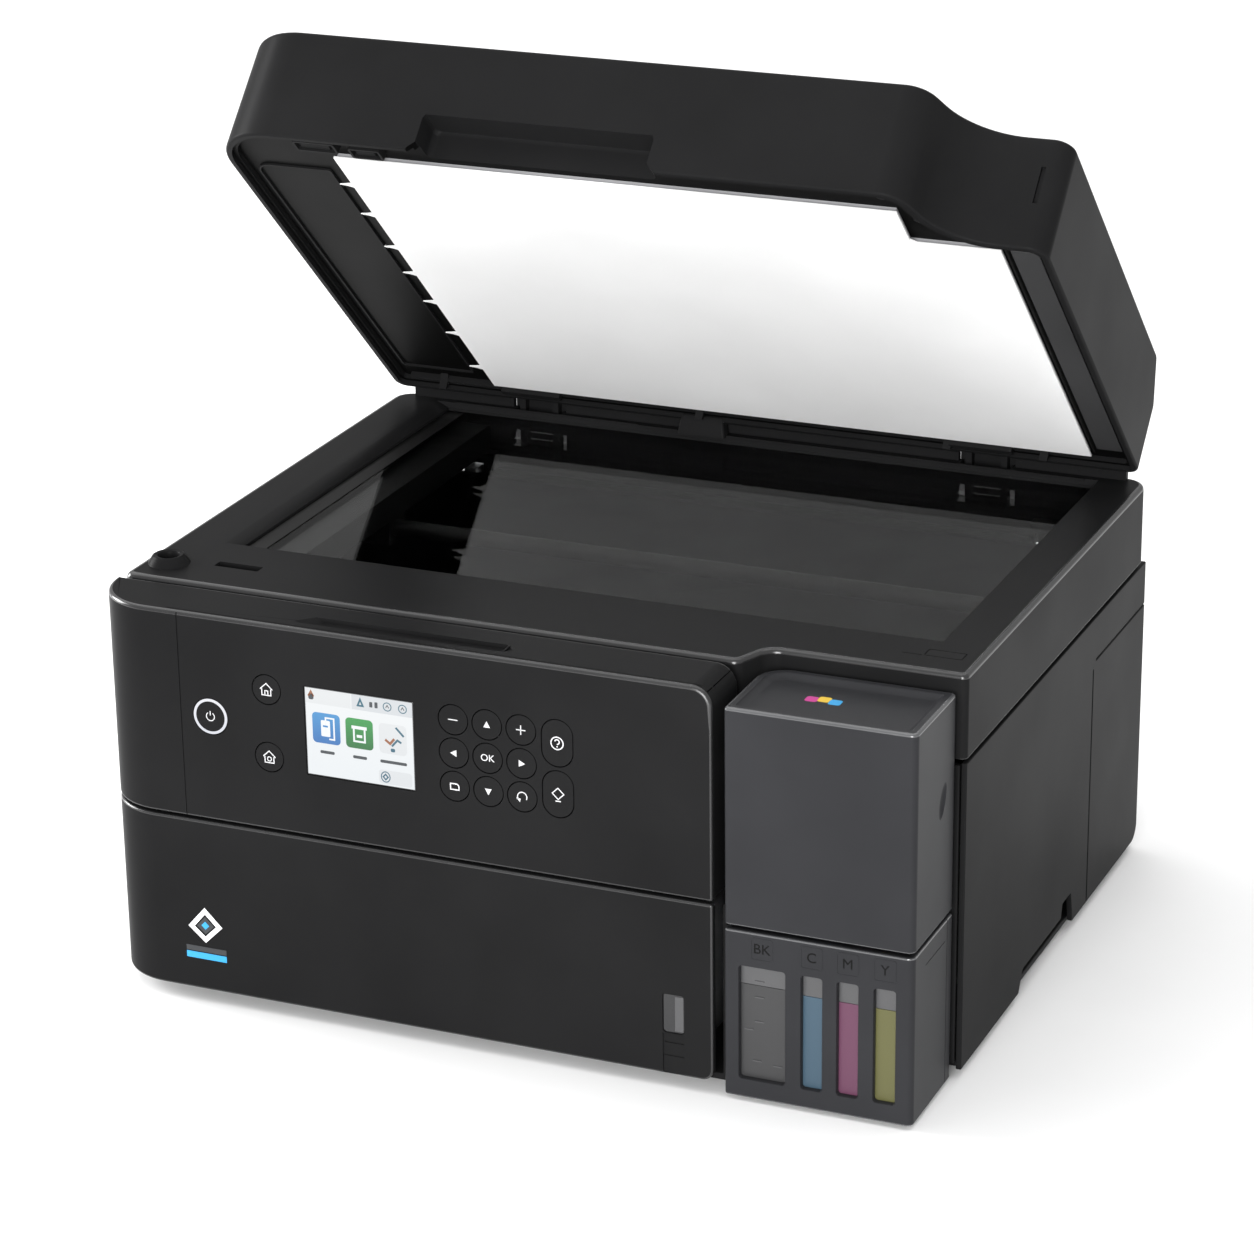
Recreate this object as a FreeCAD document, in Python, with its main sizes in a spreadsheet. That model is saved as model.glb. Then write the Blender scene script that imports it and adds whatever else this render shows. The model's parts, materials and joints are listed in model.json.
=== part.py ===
import FreeCAD, Part
import math
import os
import re
from types import SimpleNamespace

import Sketcher

# Desktop inkjet printer: ink tanks at the front right, a tilting control panel, a pull-out paper
# cassette, a scanner unit that lifts on rear hinges, and a document lid with a sheet feeder.
# Millimetres. +Z up, +X to the right as seen from the front, the front faces -Y.
# The origin is the centre of the casing's footprint, on the surface that the feet stand on.

# Driving dimensions, written to the sheet under these names.
DIMENSIONS = {
    # casing
    "half_width": 187.5,
    "front": -153.5,
    "rear": 153.5,
    "underside": 4.0,
    "case_top": 142.0,
    "wall": 2.5,
    "floor": 3.0,
    "corner": 28.0,
    "foot_radius": 7.0,
    "side_front": -121.0,
    "bay_wall": -102.0,
    "plate_left": -178.0,
    "plate_right": 78.0,
    "outer_plate": 176.0,
    "plate": 3.0,
    # cassette and panel
    "fascia_right": 97.5,
    "wrap_back": -124.0,
    "drawer_bottom": 6.5,
    "drawer_top": 86.5,
    "panel_bottom": 88.0,
    "panel_top": 181.0,
    "panel_depth": 29.0,
    "panel_pivot_y": -135.0,
    "panel_pivot_z": 173.0,
    "paper_left": -153.0,
    "paper_right": 63.0,
    "tray_top": 50.0,
    # ink tank unit
    "tank_left": 102.5,
    "tank_right": 184.0,
    "tank_rear": -105.5,
    "tank_bottom": 2.0,
    "tank_split": 77.2,
    "tank_seam": 2.1,
    "tank_top": 174.0,
    "cover_pivot_y": -149.0,
    "cover_pivot_z": 84.0,
    "window_bottom": 10.6,
    "window_top": 61.6,
    "neck_y": -132.0,
    "neck_radius": 5.5,
    "cap_pivot_y": -120.0,
    "cap_pivot_z": 79.5,
    # scanner unit
    "scanner_bottom": 144.0,
    "scanner_top": 181.0,
    "scanner_front": -120.5,
    "scanner_front_right": -103.0,
    "step_left": 96.0,
    "step_right": 103.0,
    "glass_left": -158.0,
    "glass_right": 165.0,
    "glass_front": -70.0,
    "glass_rear": 144.0,
    "scan_pivot_y": 150.0,
    "scan_pivot_z": 146.0,
    "hinge_x": 145.0,
    # lid, given where it lies when it is shut
    "lid_half": 185.5,
    "lid_bottom": 182.5,
    "lid_top": 234.5,
    "lid_rear": 148.0,
    "lid_front": -97.0,
    "lid_front_right": -62.0,
    "lid_corner": 30.0,
    "lid_pivot_y": 151.0,
    "lid_pivot_z": 188.0,
    "lid_open": 43.5,
    "feeder_pivot_x": -176.5,
    "feeder_pivot_z": 231.6,
    # running gear
    "rail_y": 44.0,
    "rail_bottom": 108.0,
    "rail_top": 128.0,
    "feed_y": 45.0,
    "feed_z": 88.0,
    "eject_y": -20.0,
    "eject_z": 86.0,
    "pick_y": 75.0,
    "pick_z": 66.0,
    "shaft_play": 0.05,
    # controls
    "key_radius": 6.5,
    "key_gap": 0.35,
    "power_radius": 8.0,
    "screen_left": -85.0,
    "screen_width": 50.5,
    "screen_bottom": 116.0,
    "screen_height": 40.0,
}

doc = FreeCAD.newDocument("inkjet_printer")
sheet = doc.addObject("Spreadsheet::Sheet", "dims")
vector = FreeCAD.Vector


class Size:
    """A number together with the sheet expression that gives it."""

    def __init__(self, value, text=None):
        self.value = float(value)
        self.text = text if text else "%.6g" % value

    def join(self, other, sign, swap=False):
        other = size(other)
        first, second = (other, self) if swap else (self, other)
        results = {
            "+": first.value + second.value,
            "-": first.value - second.value,
            "*": first.value * second.value,
        }
        return Size(results[sign], "(%s %s %s)" % (first.text, sign, second.text))

    def __add__(self, other):
        return self.join(other, "+")

    def __radd__(self, other):
        return self.join(other, "+", True)

    def __sub__(self, other):
        return self.join(other, "-")

    def __rsub__(self, other):
        return self.join(other, "-", True)

    def __mul__(self, other):
        return self.join(other, "*")

    def __neg__(self):
        return self.join(-1.0, "*")


def size(number):
    return number if isinstance(number, Size) else Size(number)


def fill_sheet():
    """Write every driving dimension as a plain number with an alias."""
    sizes = {}
    for row, (alias, value) in enumerate(DIMENSIONS.items(), 1):
        sheet.set("A%d" % row, alias)
        sheet.set("B%d" % row, "%g" % value)
        sheet.setAlias("B%d" % row, alias)
        sizes[alias] = Size(value, "dims." + alias)
    doc.recompute()
    return SimpleNamespace(**sizes)


d = fill_sheet()
nodes = []


def bind(item, prop, number):
    item.setExpression(prop, size(number).text)


def place(item, x, y, z):
    for letter, number in zip("xyz", (x, y, z)):
        bind(item, "Placement.Base." + letter, number)


def block(name, x, y, z):
    """A box between pairs of faces."""
    item = doc.addObject("Part::Box", name)
    for prop, pair in zip(("Length", "Width", "Height"), (x, y, z)):
        bind(item, prop, size(pair[1]) - pair[0])
    place(item, x[0], y[0], z[0])
    return item


TURNS = {
    "x": FreeCAD.Rotation(vector(0, 1, 0), 90),
    "y": FreeCAD.Rotation(vector(1, 0, 0), -90),
    "z": FreeCAD.Rotation(),
}


def rod(name, axis, along, centre, radius):
    """A cylinder along an axis; centre gives its other two coordinates in X, Y, Z order."""
    item = doc.addObject("Part::Cylinder", name)
    item.Placement = FreeCAD.Placement(vector(), TURNS[axis])
    bind(item, "Radius", radius)
    bind(item, "Height", size(along[1]) - along[0])
    base = list(centre)
    base.insert("xyz".index(axis), along[0])
    place(item, *base)
    return item


def taper(name, z, centre, radii):
    """A cone along Z."""
    item = doc.addObject("Part::Cone", name)
    bind(item, "Radius1", radii[0])
    bind(item, "Radius2", radii[1])
    bind(item, "Height", size(z[1]) - z[0])
    place(item, centre[0], centre[1], z[0])
    return item


PLANES = {"xy": ("XY_Plane", 2), "yz": ("YZ_Plane", 0)}


def corner_edge(shape, axis, spot):
    """The name of the edge that runs along an axis through a corner of the outline."""
    for index, edge in enumerate(shape.Edges, 1):
        ends = [list(vertex.Point) for vertex in edge.Vertexes]
        if len(ends) != 2 or abs(ends[0][axis] - ends[1][axis]) < 0.1:
            continue
        flat = [[number for i, number in enumerate(end) if i != axis] for end in ends]
        if all(abs(end[0] - spot[0]) + abs(end[1] - spot[1]) < 0.01 for end in flat):
            return "Edge%d" % index
    raise ValueError("no edge at %s" % (spot,))


def prism(name, plane, corners, span, rounds=None):
    """A padded outline of straight sides; rounds gives the fillet radius at chosen corners."""
    body = doc.addObject("PartDesign::Body", name)
    sketch = body.newObject("Sketcher::SketchObject", name + "_outline")
    role, axis = PLANES[plane]
    sketch.AttachmentSupport = ([f for f in body.Origin.OriginFeatures if f.Role == role][0], [""])
    sketch.MapMode = "FlatFace"
    points = [vector(size(u).value, size(v).value, 0) for u, v in corners]
    count = len(points)
    for i in range(count):
        sketch.addGeometry(Part.LineSegment(points[i], points[(i + 1) % count]), False)
    for i in range(count):
        sketch.addConstraint(Sketcher.Constraint("Coincident", i, 2, (i + 1) % count, 1))
    for i in range(count):
        for kind, number in zip(("DistanceX", "DistanceY"), corners[i]):
            value = size(number).value
            index = sketch.addConstraint(Sketcher.Constraint(kind, i, 1, value))
            sketch.setExpression("Constraints[%d]" % index, size(number).text)
    bind(sketch, "AttachmentOffset.Base.z", span[0])
    pad = body.newObject("PartDesign::Pad", name + "_pad")
    pad.Profile = sketch
    bind(pad, "Length", size(span[1]) - span[0])
    doc.recompute()
    last = pad
    for index, radius in (rounds or {}).items():
        spot = (points[index].x, points[index].y)
        fillet = body.newObject("PartDesign::Fillet", "%s_round%d" % (name, index))
        fillet.Base = (last, [corner_edge(last.Shape, axis, spot)])
        bind(fillet, "Radius", radius)
        doc.recompute()
        last = fillet
    return body


def fuse(name, items):
    item = doc.addObject("Part::MultiFuse", name)
    item.Shapes = items
    return item


def cut(name, base, tools):
    item = doc.addObject("Part::Cut", name)
    item.Base = base
    item.Tool = tools[0] if len(tools) == 1 else fuse(name + "_tools", tools)
    return item


def node(item, label):
    """Name a finished sub-part; the label becomes its file's name."""
    item.Label = label
    nodes.append(item)
    return item


# ---------------------------------------------------------------- base casing


def base_housing():
    top = d.underside + d.floor
    floor = (d.underside, top)
    deck = block("floor_deck", (-d.half_width + 4, d.half_width - 3), (-99, d.rear - 3), floor)
    tongue = block("floor_tongue", (-172, 90), (-146, -99), floor)
    across = (-d.half_width + 3, d.half_width - 3)
    rear_wall = block("rear_wall", across, (d.rear - 3, d.rear), (d.underside, 136))
    upright = (top, d.case_top - 1)
    bay_wall = block("bay_wall", (100, d.half_width - 3), (d.bay_wall, d.bay_wall + 2.4), upright)
    bay_side = block("bay_side", (99, 101), (-146, d.bay_wall + 2.4), (d.underside, 84))
    bay_foot = block("bay_foot", (88, 101), (-146, -97), floor)
    ribs = []
    for index, x in enumerate((-182, 173)):
        ribs.append(block("floor_rib%d" % index, (x, x + 2), (-96, 148), (top, top + 6)))
    shell = fuse("base_shell", [deck, tongue, rear_wall, bay_wall, bay_side, bay_foot] + ribs)
    openings = [
        block("duplex_opening", (-122, 62), (140, 160), (23, 122)),
        block("waste_opening", (90.5, 163.5), (140, 160), (10.5, 49.5)),
        block("inlet_opening", (95, 123), (140, 160), (68, 94)),
        block("data_opening", (133, 173), (140, 160), (68, 94)),
    ]
    return node(cut("base_cut", shell, openings), "base_housing")


def side_covers():
    left = [
        (d.side_front, d.underside),
        (d.rear, d.underside),
        (d.rear, d.case_top),
        (d.side_front, d.case_top),
    ]
    panel = prism("left_panel", "yz", left, (-d.half_width, -d.half_width + d.wall), {1: 8})
    node(panel, "left_cover")
    right = [
        (d.bay_wall + 0.5, d.underside),
        (-24, d.underside),
        (-19, d.underside + 9.5),
        (36, d.underside + 9.5),
        (38, d.underside + 16),
        (50, d.underside + 16),
        (53, d.underside + 1),
        (d.rear, d.underside + 1),
        (d.rear, d.case_top),
        (d.bay_wall + 0.5, d.case_top),
    ]
    skin = prism("right_panel", "yz", right, (d.half_width - d.wall, d.half_width), {2: 3, 7: 8})
    groove_out = (d.half_width - 0.6, d.half_width + 1)
    grooves = [
        block("seam_level", groove_out, (78, d.rear + 1), (121, 121.8)),
        block("seam_upright", groove_out, (74, 74.8), (2, 118)),
    ]
    node(cut("right_panel_cut", skin, grooves), "right_cover")


def rubber_feet():
    spots = [(-160, -125), (80, -125), (168, -85), (-165, 135), (165, 135), (0, 0)]
    feet = []
    for index, (x, y) in enumerate(spots):
        feet.append(rod("foot%d" % index, "z", (0, d.underside), (x, y), d.foot_radius))
    return node(fuse("feet", feet), "rubber_feet")


def frame_plate(name, left, y, z):
    return block(name, (left, left + d.plate), y, z)


def mech_frame():
    low = d.underside + d.floor
    solids = [
        frame_plate("plate_far_left", d.plate_left, (-112, 124), (low, 138)),
        frame_plate("plate_inner", d.plate_right, (-112, 124), (low, 82)),
        frame_plate("eject_ear", d.plate_right, (-28, -14), (81, 92)),
        frame_plate("feed_ear", d.plate_right, (39, 53), (81, 96)),
        frame_plate("beam_ear", d.plate_right, (60, 90), (81, 102)),
        frame_plate("plate_far_right", d.outer_plate, (-60, 124), (low, 138)),
        block("rear_beam", (d.plate_left, d.outer_plate + d.plate), (116, 124), (124, 138)),
        block("front_beam", (d.plate_left, 100), (-122, -112), (128, 140)),
        block("front_post", (90, 100), (-122, -99.6), (128, 140)),
        block("pick_beam", (d.plate_left, d.plate_right + 1), (66, 84), (96, 102)),
    ]
    for index, x in enumerate((-72, -21)):
        ear = block("pick_ear%d" % index, (x, x + 3), (69, 81), (60, 97))
        solids.append(ear)
    for index, x in enumerate((-170, 85)):
        solids.append(block("panel_arm%d" % index, (x, x + 4), (-140, -122), (128, 140)))
        ear = block("panel_ear%d" % index, (x, x + 4), (-140, d.panel_pivot_y + 5), (138, d.panel_pivot_z))
        eye = rod("panel_eye%d" % index, "x", (x, x + 4), (d.panel_pivot_y, d.panel_pivot_z), 5)
        solids += [ear, eye]
    for index, x in enumerate((-d.hinge_x, d.hinge_x)):
        solids.append(block("hinge_foot%d" % index, (x - 3, x + 3), (118, 149.5), (124, 141)))
        solids.append(block("hinge_post%d" % index, (x - 3, x + 3), (139, 149.5), (140, 149.5)))
        eye = rod("hinge_eye%d" % index, "x", (x - 3, x + 3), (d.scan_pivot_y, d.scan_pivot_z), 3.4)
        pin = rod("hinge_pin%d" % index, "x", (x - 7, x + 7), (d.scan_pivot_y, d.scan_pivot_z), 2)
        solids += [eye, pin]
    solids.append(rod("gear_stub", "x", (-184, d.plate_left + 1), (12.5, 87), 2.5))
    bores = [
        rod("feed_bore", "x", (-190, 90), (d.feed_y, d.feed_z), 3 + d.shaft_play),
        rod("eject_bore", "x", (-190, 90), (d.eject_y, d.eject_z), 2.5 + d.shaft_play),
        rod("pick_bore", "x", (-80, -10), (d.pick_y, d.pick_z), 2.5 + d.shaft_play),
        rod("panel_bore", "x", (-172, 92), (d.panel_pivot_y, d.panel_pivot_z), 2.5 + d.shaft_play),
    ]
    return node(cut("frame_cut", fuse("frame_plates", solids), bores), "mech_frame")


def carriage_rail():
    low, high = d.rail_bottom, d.rail_top
    back = block("rail_back", (-174.8, 175.8), (d.rail_y + 6, d.rail_y + 8), (low, high))
    upper = block("rail_upper", (-174.8, 175.8), (d.rail_y - 2, d.rail_y + 8), (high - 2, high))
    lower = block("rail_lower", (-174.8, 175.8), (d.rail_y - 2, d.rail_y + 8), (low, low + 2))
    lip = block("rail_lip", (-174.8, 175.8), (d.rail_y - 2, d.rail_y), (high - 6, high))
    return node(fuse("rail", [back, upper, lower, lip]), "carriage_rail")


def platen():
    left, right = d.paper_left - 4, d.paper_right + 4
    plate = block("platen_plate", (left, right), (-10, 36), (77, 80))
    ribs = []
    for index in range(12):
        x = d.paper_left + 8 + 18 * index
        ribs.append(block("platen_rib%d" % index, (x, x + 1.2), (-9, 35), (79.5, 83.5)))
    ends = [
        block("platen_left", (d.plate_left + d.plate, left + 1), (0, 26), (77, 80)),
        block("platen_right", (right - 1, d.plate_right), (0, 26), (77, 80)),
    ]
    return node(fuse("platen_all", [plate] + ribs + ends), "platen")


def carriage_motor():
    can = rod("motor_can", "y", (64, 94), (-158, 118), 13)
    nose = rod("motor_nose", "y", (61, 65), (-158, 118), 6)
    bracket = block("motor_bracket", (-175, -144), (61, 63), (100, 132))
    shaft = rod("motor_shaft", "y", (52.4, 62), (-158, 118), 1.5)
    body = fuse("motor_body", [can, nose, bracket, shaft])
    return node(body, "carriage_motor")


def electronics():
    board = block("board_plate", (171, 172.6), (-70, 60), (24, 80))
    chips = []
    for index, (y, z, side) in enumerate(((-50, 34, 22), (-10, 48, 16), (25, 30, 18))):
        chips.append(block("chip%d" % index, (168, 171.2), (y, y + side), (z, z + side)))
    plugs = []
    for index in range(5):
        start = -60 + 22 * index
        plugs.append(block("board_plug%d" % index, (164, 171.2), (start, start + 14), (70, 76)))
    posts = []
    for index, y in enumerate((-58, 52)):
        posts.append(block("board_post%d" % index, (172.4, d.outer_plate), (y, y + 4), (30, 34)))
    node(fuse("board", [board] + chips + plugs + posts), "main_board")
    case = block("supply_case", (86, 160), (-92, -14), (7, 58))
    inside = block("supply_inside", (88, 158), (-90, -16), (9, 56))
    slots = [block("supply_slot%d" % i, (95 + 9 * i, 98 + 9 * i), (-80, -26), (55, 60)) for i in range(6)]
    node(cut("supply", case, [inside] + slots), "power_supply")


def rear_sockets():
    inlet = block("inlet_block", (95, 123), (136, d.rear), (68, 94))
    recess = block("inlet_recess", (99, 119), (143, d.rear + 1), (75.5, 86.5))
    pins = []
    for index, x in enumerate((104.7, 113.3)):
        pins.append(rod("inlet_pin%d" % index, "y", (142, 149), (x, 81), 1.2))
    node(fuse("inlet", [cut("inlet_cut", inlet, [recess])] + pins), "ac_inlet")
    ports = block("ports_block", (133, 173), (136, d.rear), (68, 94))
    usb = block("usb_recess", (137, 149), (140, d.rear + 1), (75, 86))
    lan = block("lan_recess", (154, 169), (140, d.rear + 1), (74, 87))
    node(cut("ports", ports, [usb, lan]), "data_ports")


# ---------------------------------------------------------------- ink tank unit

# Each ink: its name, the left and right edge of its window, and the middle of its filling neck.
INKS = [
    ("black", 109.0, 129.0, 119.0),
    ("cyan", 136.0, 145.0, 140.5),
    ("magenta", 151.5, 160.5, 156.0),
    ("yellow", 167.3, 176.5, 171.5),
]


def tank_housing():
    top = d.tank_split
    outer = [
        (d.tank_left, d.front),
        (d.tank_right, d.front),
        (d.tank_right, d.tank_rear),
        (d.tank_left, d.tank_rear),
    ]
    skin = prism("tank_skin", "xy", outer, (d.tank_bottom, top), {0: 1.5, 1: 3})
    wall = d.wall
    inside = block(
        "tank_inside",
        (d.tank_left + wall, d.tank_right - wall),
        (d.front + wall, d.tank_rear - wall),
        (d.tank_bottom + 2.5, top + 5),
    )
    windows = []
    for ink, left, right, middle in INKS:
        level = (d.window_bottom, d.window_top)
        windows.append(block("window_" + ink, (left, right), (d.front - 2, d.front + 5), level))
    shell = cut("tank_shell", skin, [inside] + windows)
    deck = block(
        "tank_deck",
        (d.tank_left + 1, d.tank_right - 1),
        (d.front + wall + 1, d.tank_rear - 1),
        (73, 75.8),
    )
    holes = []
    for ink, left, right, middle in INKS:
        holes.append(rod("neck_hole_" + ink, "z", (70, 80), (middle, d.neck_y), d.neck_radius + 0.2))
    solids = [shell, cut("tank_deck_cut", deck, holes)]
    for ink, left, right, middle in INKS:
        for side in (-1, 1):
            post = block(
                "cap_post_%s%d" % (ink, side > 0),
                (middle + 4.6 * side - 0.9, middle + 4.6 * side + 0.9),
                (d.cap_pivot_y - 2, d.cap_pivot_y + 2),
                (75, d.cap_pivot_z + 2),
            )
            solids.append(post)
        pin = rod("cap_pin_" + ink, "x", (middle - 5, middle + 5), (d.cap_pivot_y, d.cap_pivot_z), 1)
        solids.append(pin)
    for index, x in enumerate((110.5, 174)):
        ear = block("cover_ear%d" % index, (x, x + 2.5), (-144.2, -141), (75, d.cover_pivot_z + 1.9))
        level = (d.cover_pivot_z - 1.9, d.cover_pivot_z + 1.9)
        arm = block("cover_arm%d" % index, (x, x + 2.5), (d.cover_pivot_y, -141), level)
        eye = rod("cover_eye%d" % index, "x", (x, x + 2.5), (d.cover_pivot_y, d.cover_pivot_z), 1.9)
        solids += [ear, arm, eye]
    solids.append(rod("cover_pin0", "x", (106, 112), (d.cover_pivot_y, d.cover_pivot_z), 1.2))
    solids.append(rod("cover_pin1", "x", (175, 181), (d.cover_pivot_y, d.cover_pivot_z), 1.2))
    return node(fuse("tank_housing_all", solids), "tank_housing")


def ink_tanks():
    tanks = []
    for ink, left, right, middle in INKS:
        bottle = block("tank_" + ink, (left - 1, right + 1), (-150.6, -110), (5, 71))
        room = block("room_" + ink, (left + 0.5, right - 0.5), (-149.1, -111.5), (6.5, 69.5))
        neck = rod("neck_" + ink, "z", (70, 84), (middle, d.neck_y), d.neck_radius)
        mouth = rod("mouth_" + ink, "z", (68, 85), (middle, d.neck_y), 2.6)
        tanks.append(cut("bottle_" + ink, fuse("bottle_solid_" + ink, [bottle, neck]), [room, mouth]))
    return node(fuse("tanks", tanks), "ink_tanks")


def tank_cap(ink, middle):
    """A rubber-lined cap on a short arm, pivoted behind its neck."""
    lid = rod("cap_top_" + ink, "z", (84.4, 88), (middle, d.neck_y), 7.2)
    skirt = rod("cap_skirt_" + ink, "z", (82, 85), (middle, d.neck_y), 7.2)
    hollow = rod("cap_hollow_" + ink, "z", (81, 84.4), (middle, d.neck_y), 6.3)
    arm = block("cap_arm_" + ink, (middle - 3, middle + 3), (-128, d.cap_pivot_y + 0.5), (84.4, 87))
    stem = block(
        "cap_stem_" + ink,
        (middle - 3, middle + 3),
        (d.cap_pivot_y - 2, d.cap_pivot_y + 2),
        (d.cap_pivot_z - 2, 87),
    )
    solid = fuse("cap_solid_" + ink, [lid, skirt, arm, stem])
    bore = rod("cap_bore_" + ink, "x", (middle - 4, middle + 4), (d.cap_pivot_y, d.cap_pivot_z), 1.05)
    return node(cut("cap_cut_" + ink, solid, [hollow, bore]), "cap_" + ink)


def ink_tank_cover():
    bottom = d.tank_split + d.tank_seam
    outline = [
        (d.tank_left, d.front),
        (d.tank_right, d.front),
        (d.tank_right, d.tank_rear),
        (d.tank_left, d.tank_rear),
    ]
    skin = prism("cover_skin", "xy", outline, (bottom, d.tank_top), {0: 1.5, 1: 3, 3: 13})
    inner = [
        (d.tank_left + 2.2, d.front + 2.2),
        (d.tank_right - 2.2, d.front + 2.2),
        (d.tank_right - 2.2, d.tank_rear - 2.2),
        (d.tank_left + 2.2, d.tank_rear - 2.2),
    ]
    inside = prism("cover_inside", "xy", inner, (bottom - 5, d.tank_top - 4.4), {3: 11})
    dish_line = [
        (d.tank_left + 3.5, d.front + 3),
        (d.tank_right - 3.5, d.front + 3),
        (d.tank_right - 3.5, d.tank_rear - 3.5),
        (d.tank_left + 3.5, d.tank_rear - 3.5),
    ]
    dish = prism("cover_dish", "xy", dish_line, (d.tank_top - 1.8, d.tank_top + 1), {0: 3, 1: 3, 2: 3, 3: 10})
    notch = block("cover_notch", (d.tank_right - 1.2, d.tank_right + 1), (-129, -114), (128, 137))
    shell = cut("cover_shell", skin, [inside, dish, notch])
    lugs = []
    for index, x in enumerate((106.4, 177)):
        lugs.append(block("cover_lug%d" % index, (x, x + 3.6), (-151.8, -146.8), (81.6, 86.4)))
    joined = fuse("cover_joined", [shell] + lugs)
    bores = [rod("cover_bore", "x", (105, 182), (d.cover_pivot_y, d.cover_pivot_z), 1.25)]
    return node(cut("cover_bored", joined, bores), "ink_tank_cover")


# ---------------------------------------------------------------- running gear


def gear(name, x, centre, teeth, face, bore, phase):
    """A spur gear of module 1 whose first tooth points at angle phase in the YZ plane."""
    pitch = teeth / 2.0
    outer, root = pitch + 0.8, pitch - 1.1
    step = 2 * math.pi / teeth
    points = []
    for tooth in range(teeth):
        middle = phase + tooth * step
        for radius, offset in ((root, -0.30), (outer, -0.11), (outer, 0.11), (root, 0.30)):
            angle = middle + offset * step
            points.append(vector(x, radius * math.cos(angle), radius * math.sin(angle)))
    points.append(points[0])
    disc = Part.Face(Part.makePolygon(points)).extrude(vector(face, 0, 0))
    hole = Part.makeCylinder(bore, face + 2, vector(x - 1, 0, 0), vector(1, 0, 0))
    item = doc.addObject("Part::Feature", name)
    item.Shape = disc.cut(hole) if bore else disc
    item.Placement = FreeCAD.Placement(vector(0, centre[0].value, centre[1].value), FreeCAD.Rotation())
    return item


def rollers():
    feed_at = (d.feed_y, d.feed_z)
    eject_at = (d.eject_y, d.eject_z)
    slant = math.atan2(d.feed_z.value - d.eject_z.value, d.feed_y.value - d.eject_y.value)
    teeth, idler = 28, 37
    solids = [rod("feed_shaft", "x", (-184.5, 80.6), feed_at, 3)]
    for index in range(4):
        x = -140 + 54 * index
        solids.append(rod("feed_tyre%d" % index, "x", (x, x + 30), feed_at, 6))
    solids.append(gear("feed_gear", -184.4, feed_at, teeth, 5, 0, slant + math.pi))
    node(fuse("feed", solids), "feed_roller")
    solids = [rod("eject_shaft", "x", (-184.5, 80.6), eject_at, 2.5)]
    for index in range(6):
        x = -142 + 36 * index
        solids.append(rod("eject_tyre%d" % index, "x", (x, x + 12), eject_at, 5))
    solids.append(gear("eject_gear", -184.4, eject_at, teeth, 5, 0, slant + math.pi / teeth))
    node(fuse("eject", solids), "eject_roller")
    middle = ((d.feed_y + d.eject_y) * 0.5, (d.feed_z + d.eject_z) * 0.5)
    node(gear("idler", -183.4, middle, idler, 5, 2.55, slant + math.pi / idler), "drive_gear")
    axle = rod("pick_shaft", "x", (-74, -16), (d.pick_y, d.pick_z), 2.5)
    drum = rod("pick_drum", "x", (-66, -24), (d.pick_y, d.pick_z), 9)
    tyre = rod("pick_tyre", "x", (-60, -30), (d.pick_y, d.pick_z), 11)
    node(fuse("pick", [axle, drum, tyre]), "pickup_roller")


def print_carriage():
    body = block("carriage_body", (108, 168), (-9, 36), (90, 126))
    pocket = block("carriage_pocket", (111, 165), (-6, 33), (100, 130))
    saddle = block("carriage_saddle", (108, 168), (35, 41.6), (110, 133))
    hook = block("carriage_hook", (108, 168), (36, 52.6), (128.4, 133))
    head = block("print_head_face", (116, 160), (0, 28), (85.5, 91))
    shell = cut("carriage_cut", body, [pocket])
    return node(fuse("carriage", [shell, saddle, hook, head]), "print_carriage")


def belt_pulley():
    wheel = rod("pulley_wheel", "y", (53, 60), (-158, 118), 6.4)
    groove = rod("pulley_groove", "y", (54.2, 58.8), (-158, 118), 5.7)
    rims = [
        rod("pulley_rim0", "y", (53, 54), (-158, 118), 7.2),
        rod("pulley_rim1", "y", (59, 60), (-158, 118), 7.2),
    ]
    solid = fuse("pulley_solid", [wheel, groove] + rims)
    bore = rod("pulley_bore", "y", (50, 62), (-158, 118), 1.55)
    return node(cut("pulley", solid, [bore]), "belt_pulley")


def rear_parts():
    line = [(-121, 150.4), (61, 150.4), (61, 172), (-121, 172)]
    shell = prism("duplex_shell", "xy", line, (24, 121), {2: 10, 3: 10})
    room = block("duplex_room", (-118, 58), (140, 169), (27, 118))
    back = block("duplex_guide", (-119, 59), (147, 149.9), (25, 120))
    tie = block("duplex_tie", (-119, 59), (149, 152), (25, 30))
    grip = [block("duplex_grip%d" % i, (x, x + 26), (170, 175), (64, 82)) for i, x in enumerate((-112, 26))]
    hollow = cut("duplex_hollow", shell, [room] + grip)
    node(fuse("duplex", [hollow, back, tie]), "rear_cover")
    box = block("waste_box", (92, 162), (72, 150), (12, 48))
    face = block("waste_face", (91, 163), (150, 153.4), (11, 49))
    room = block("waste_room", (94, 160), (74, 148), (14, 50))
    finger = block("waste_grip", (115, 139), (151, 156), (22, 34))
    shell = cut("waste_shell", box, [room])
    node(cut("waste", fuse("waste_solid", [shell, face]), [finger]), "maintenance_box")


# ---------------------------------------------------------------- paper cassette


def wrapped_front(name, back, inset, z):
    """The outline of a fascia that turns the front left corner of the casing."""
    left = -d.half_width + inset
    front = d.front + inset
    line = [(left, front), (d.fascia_right - inset, front), (d.fascia_right - inset, back), (left, back)]
    return prism(name, "xy", line, z, {0: d.corner - inset})


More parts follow.
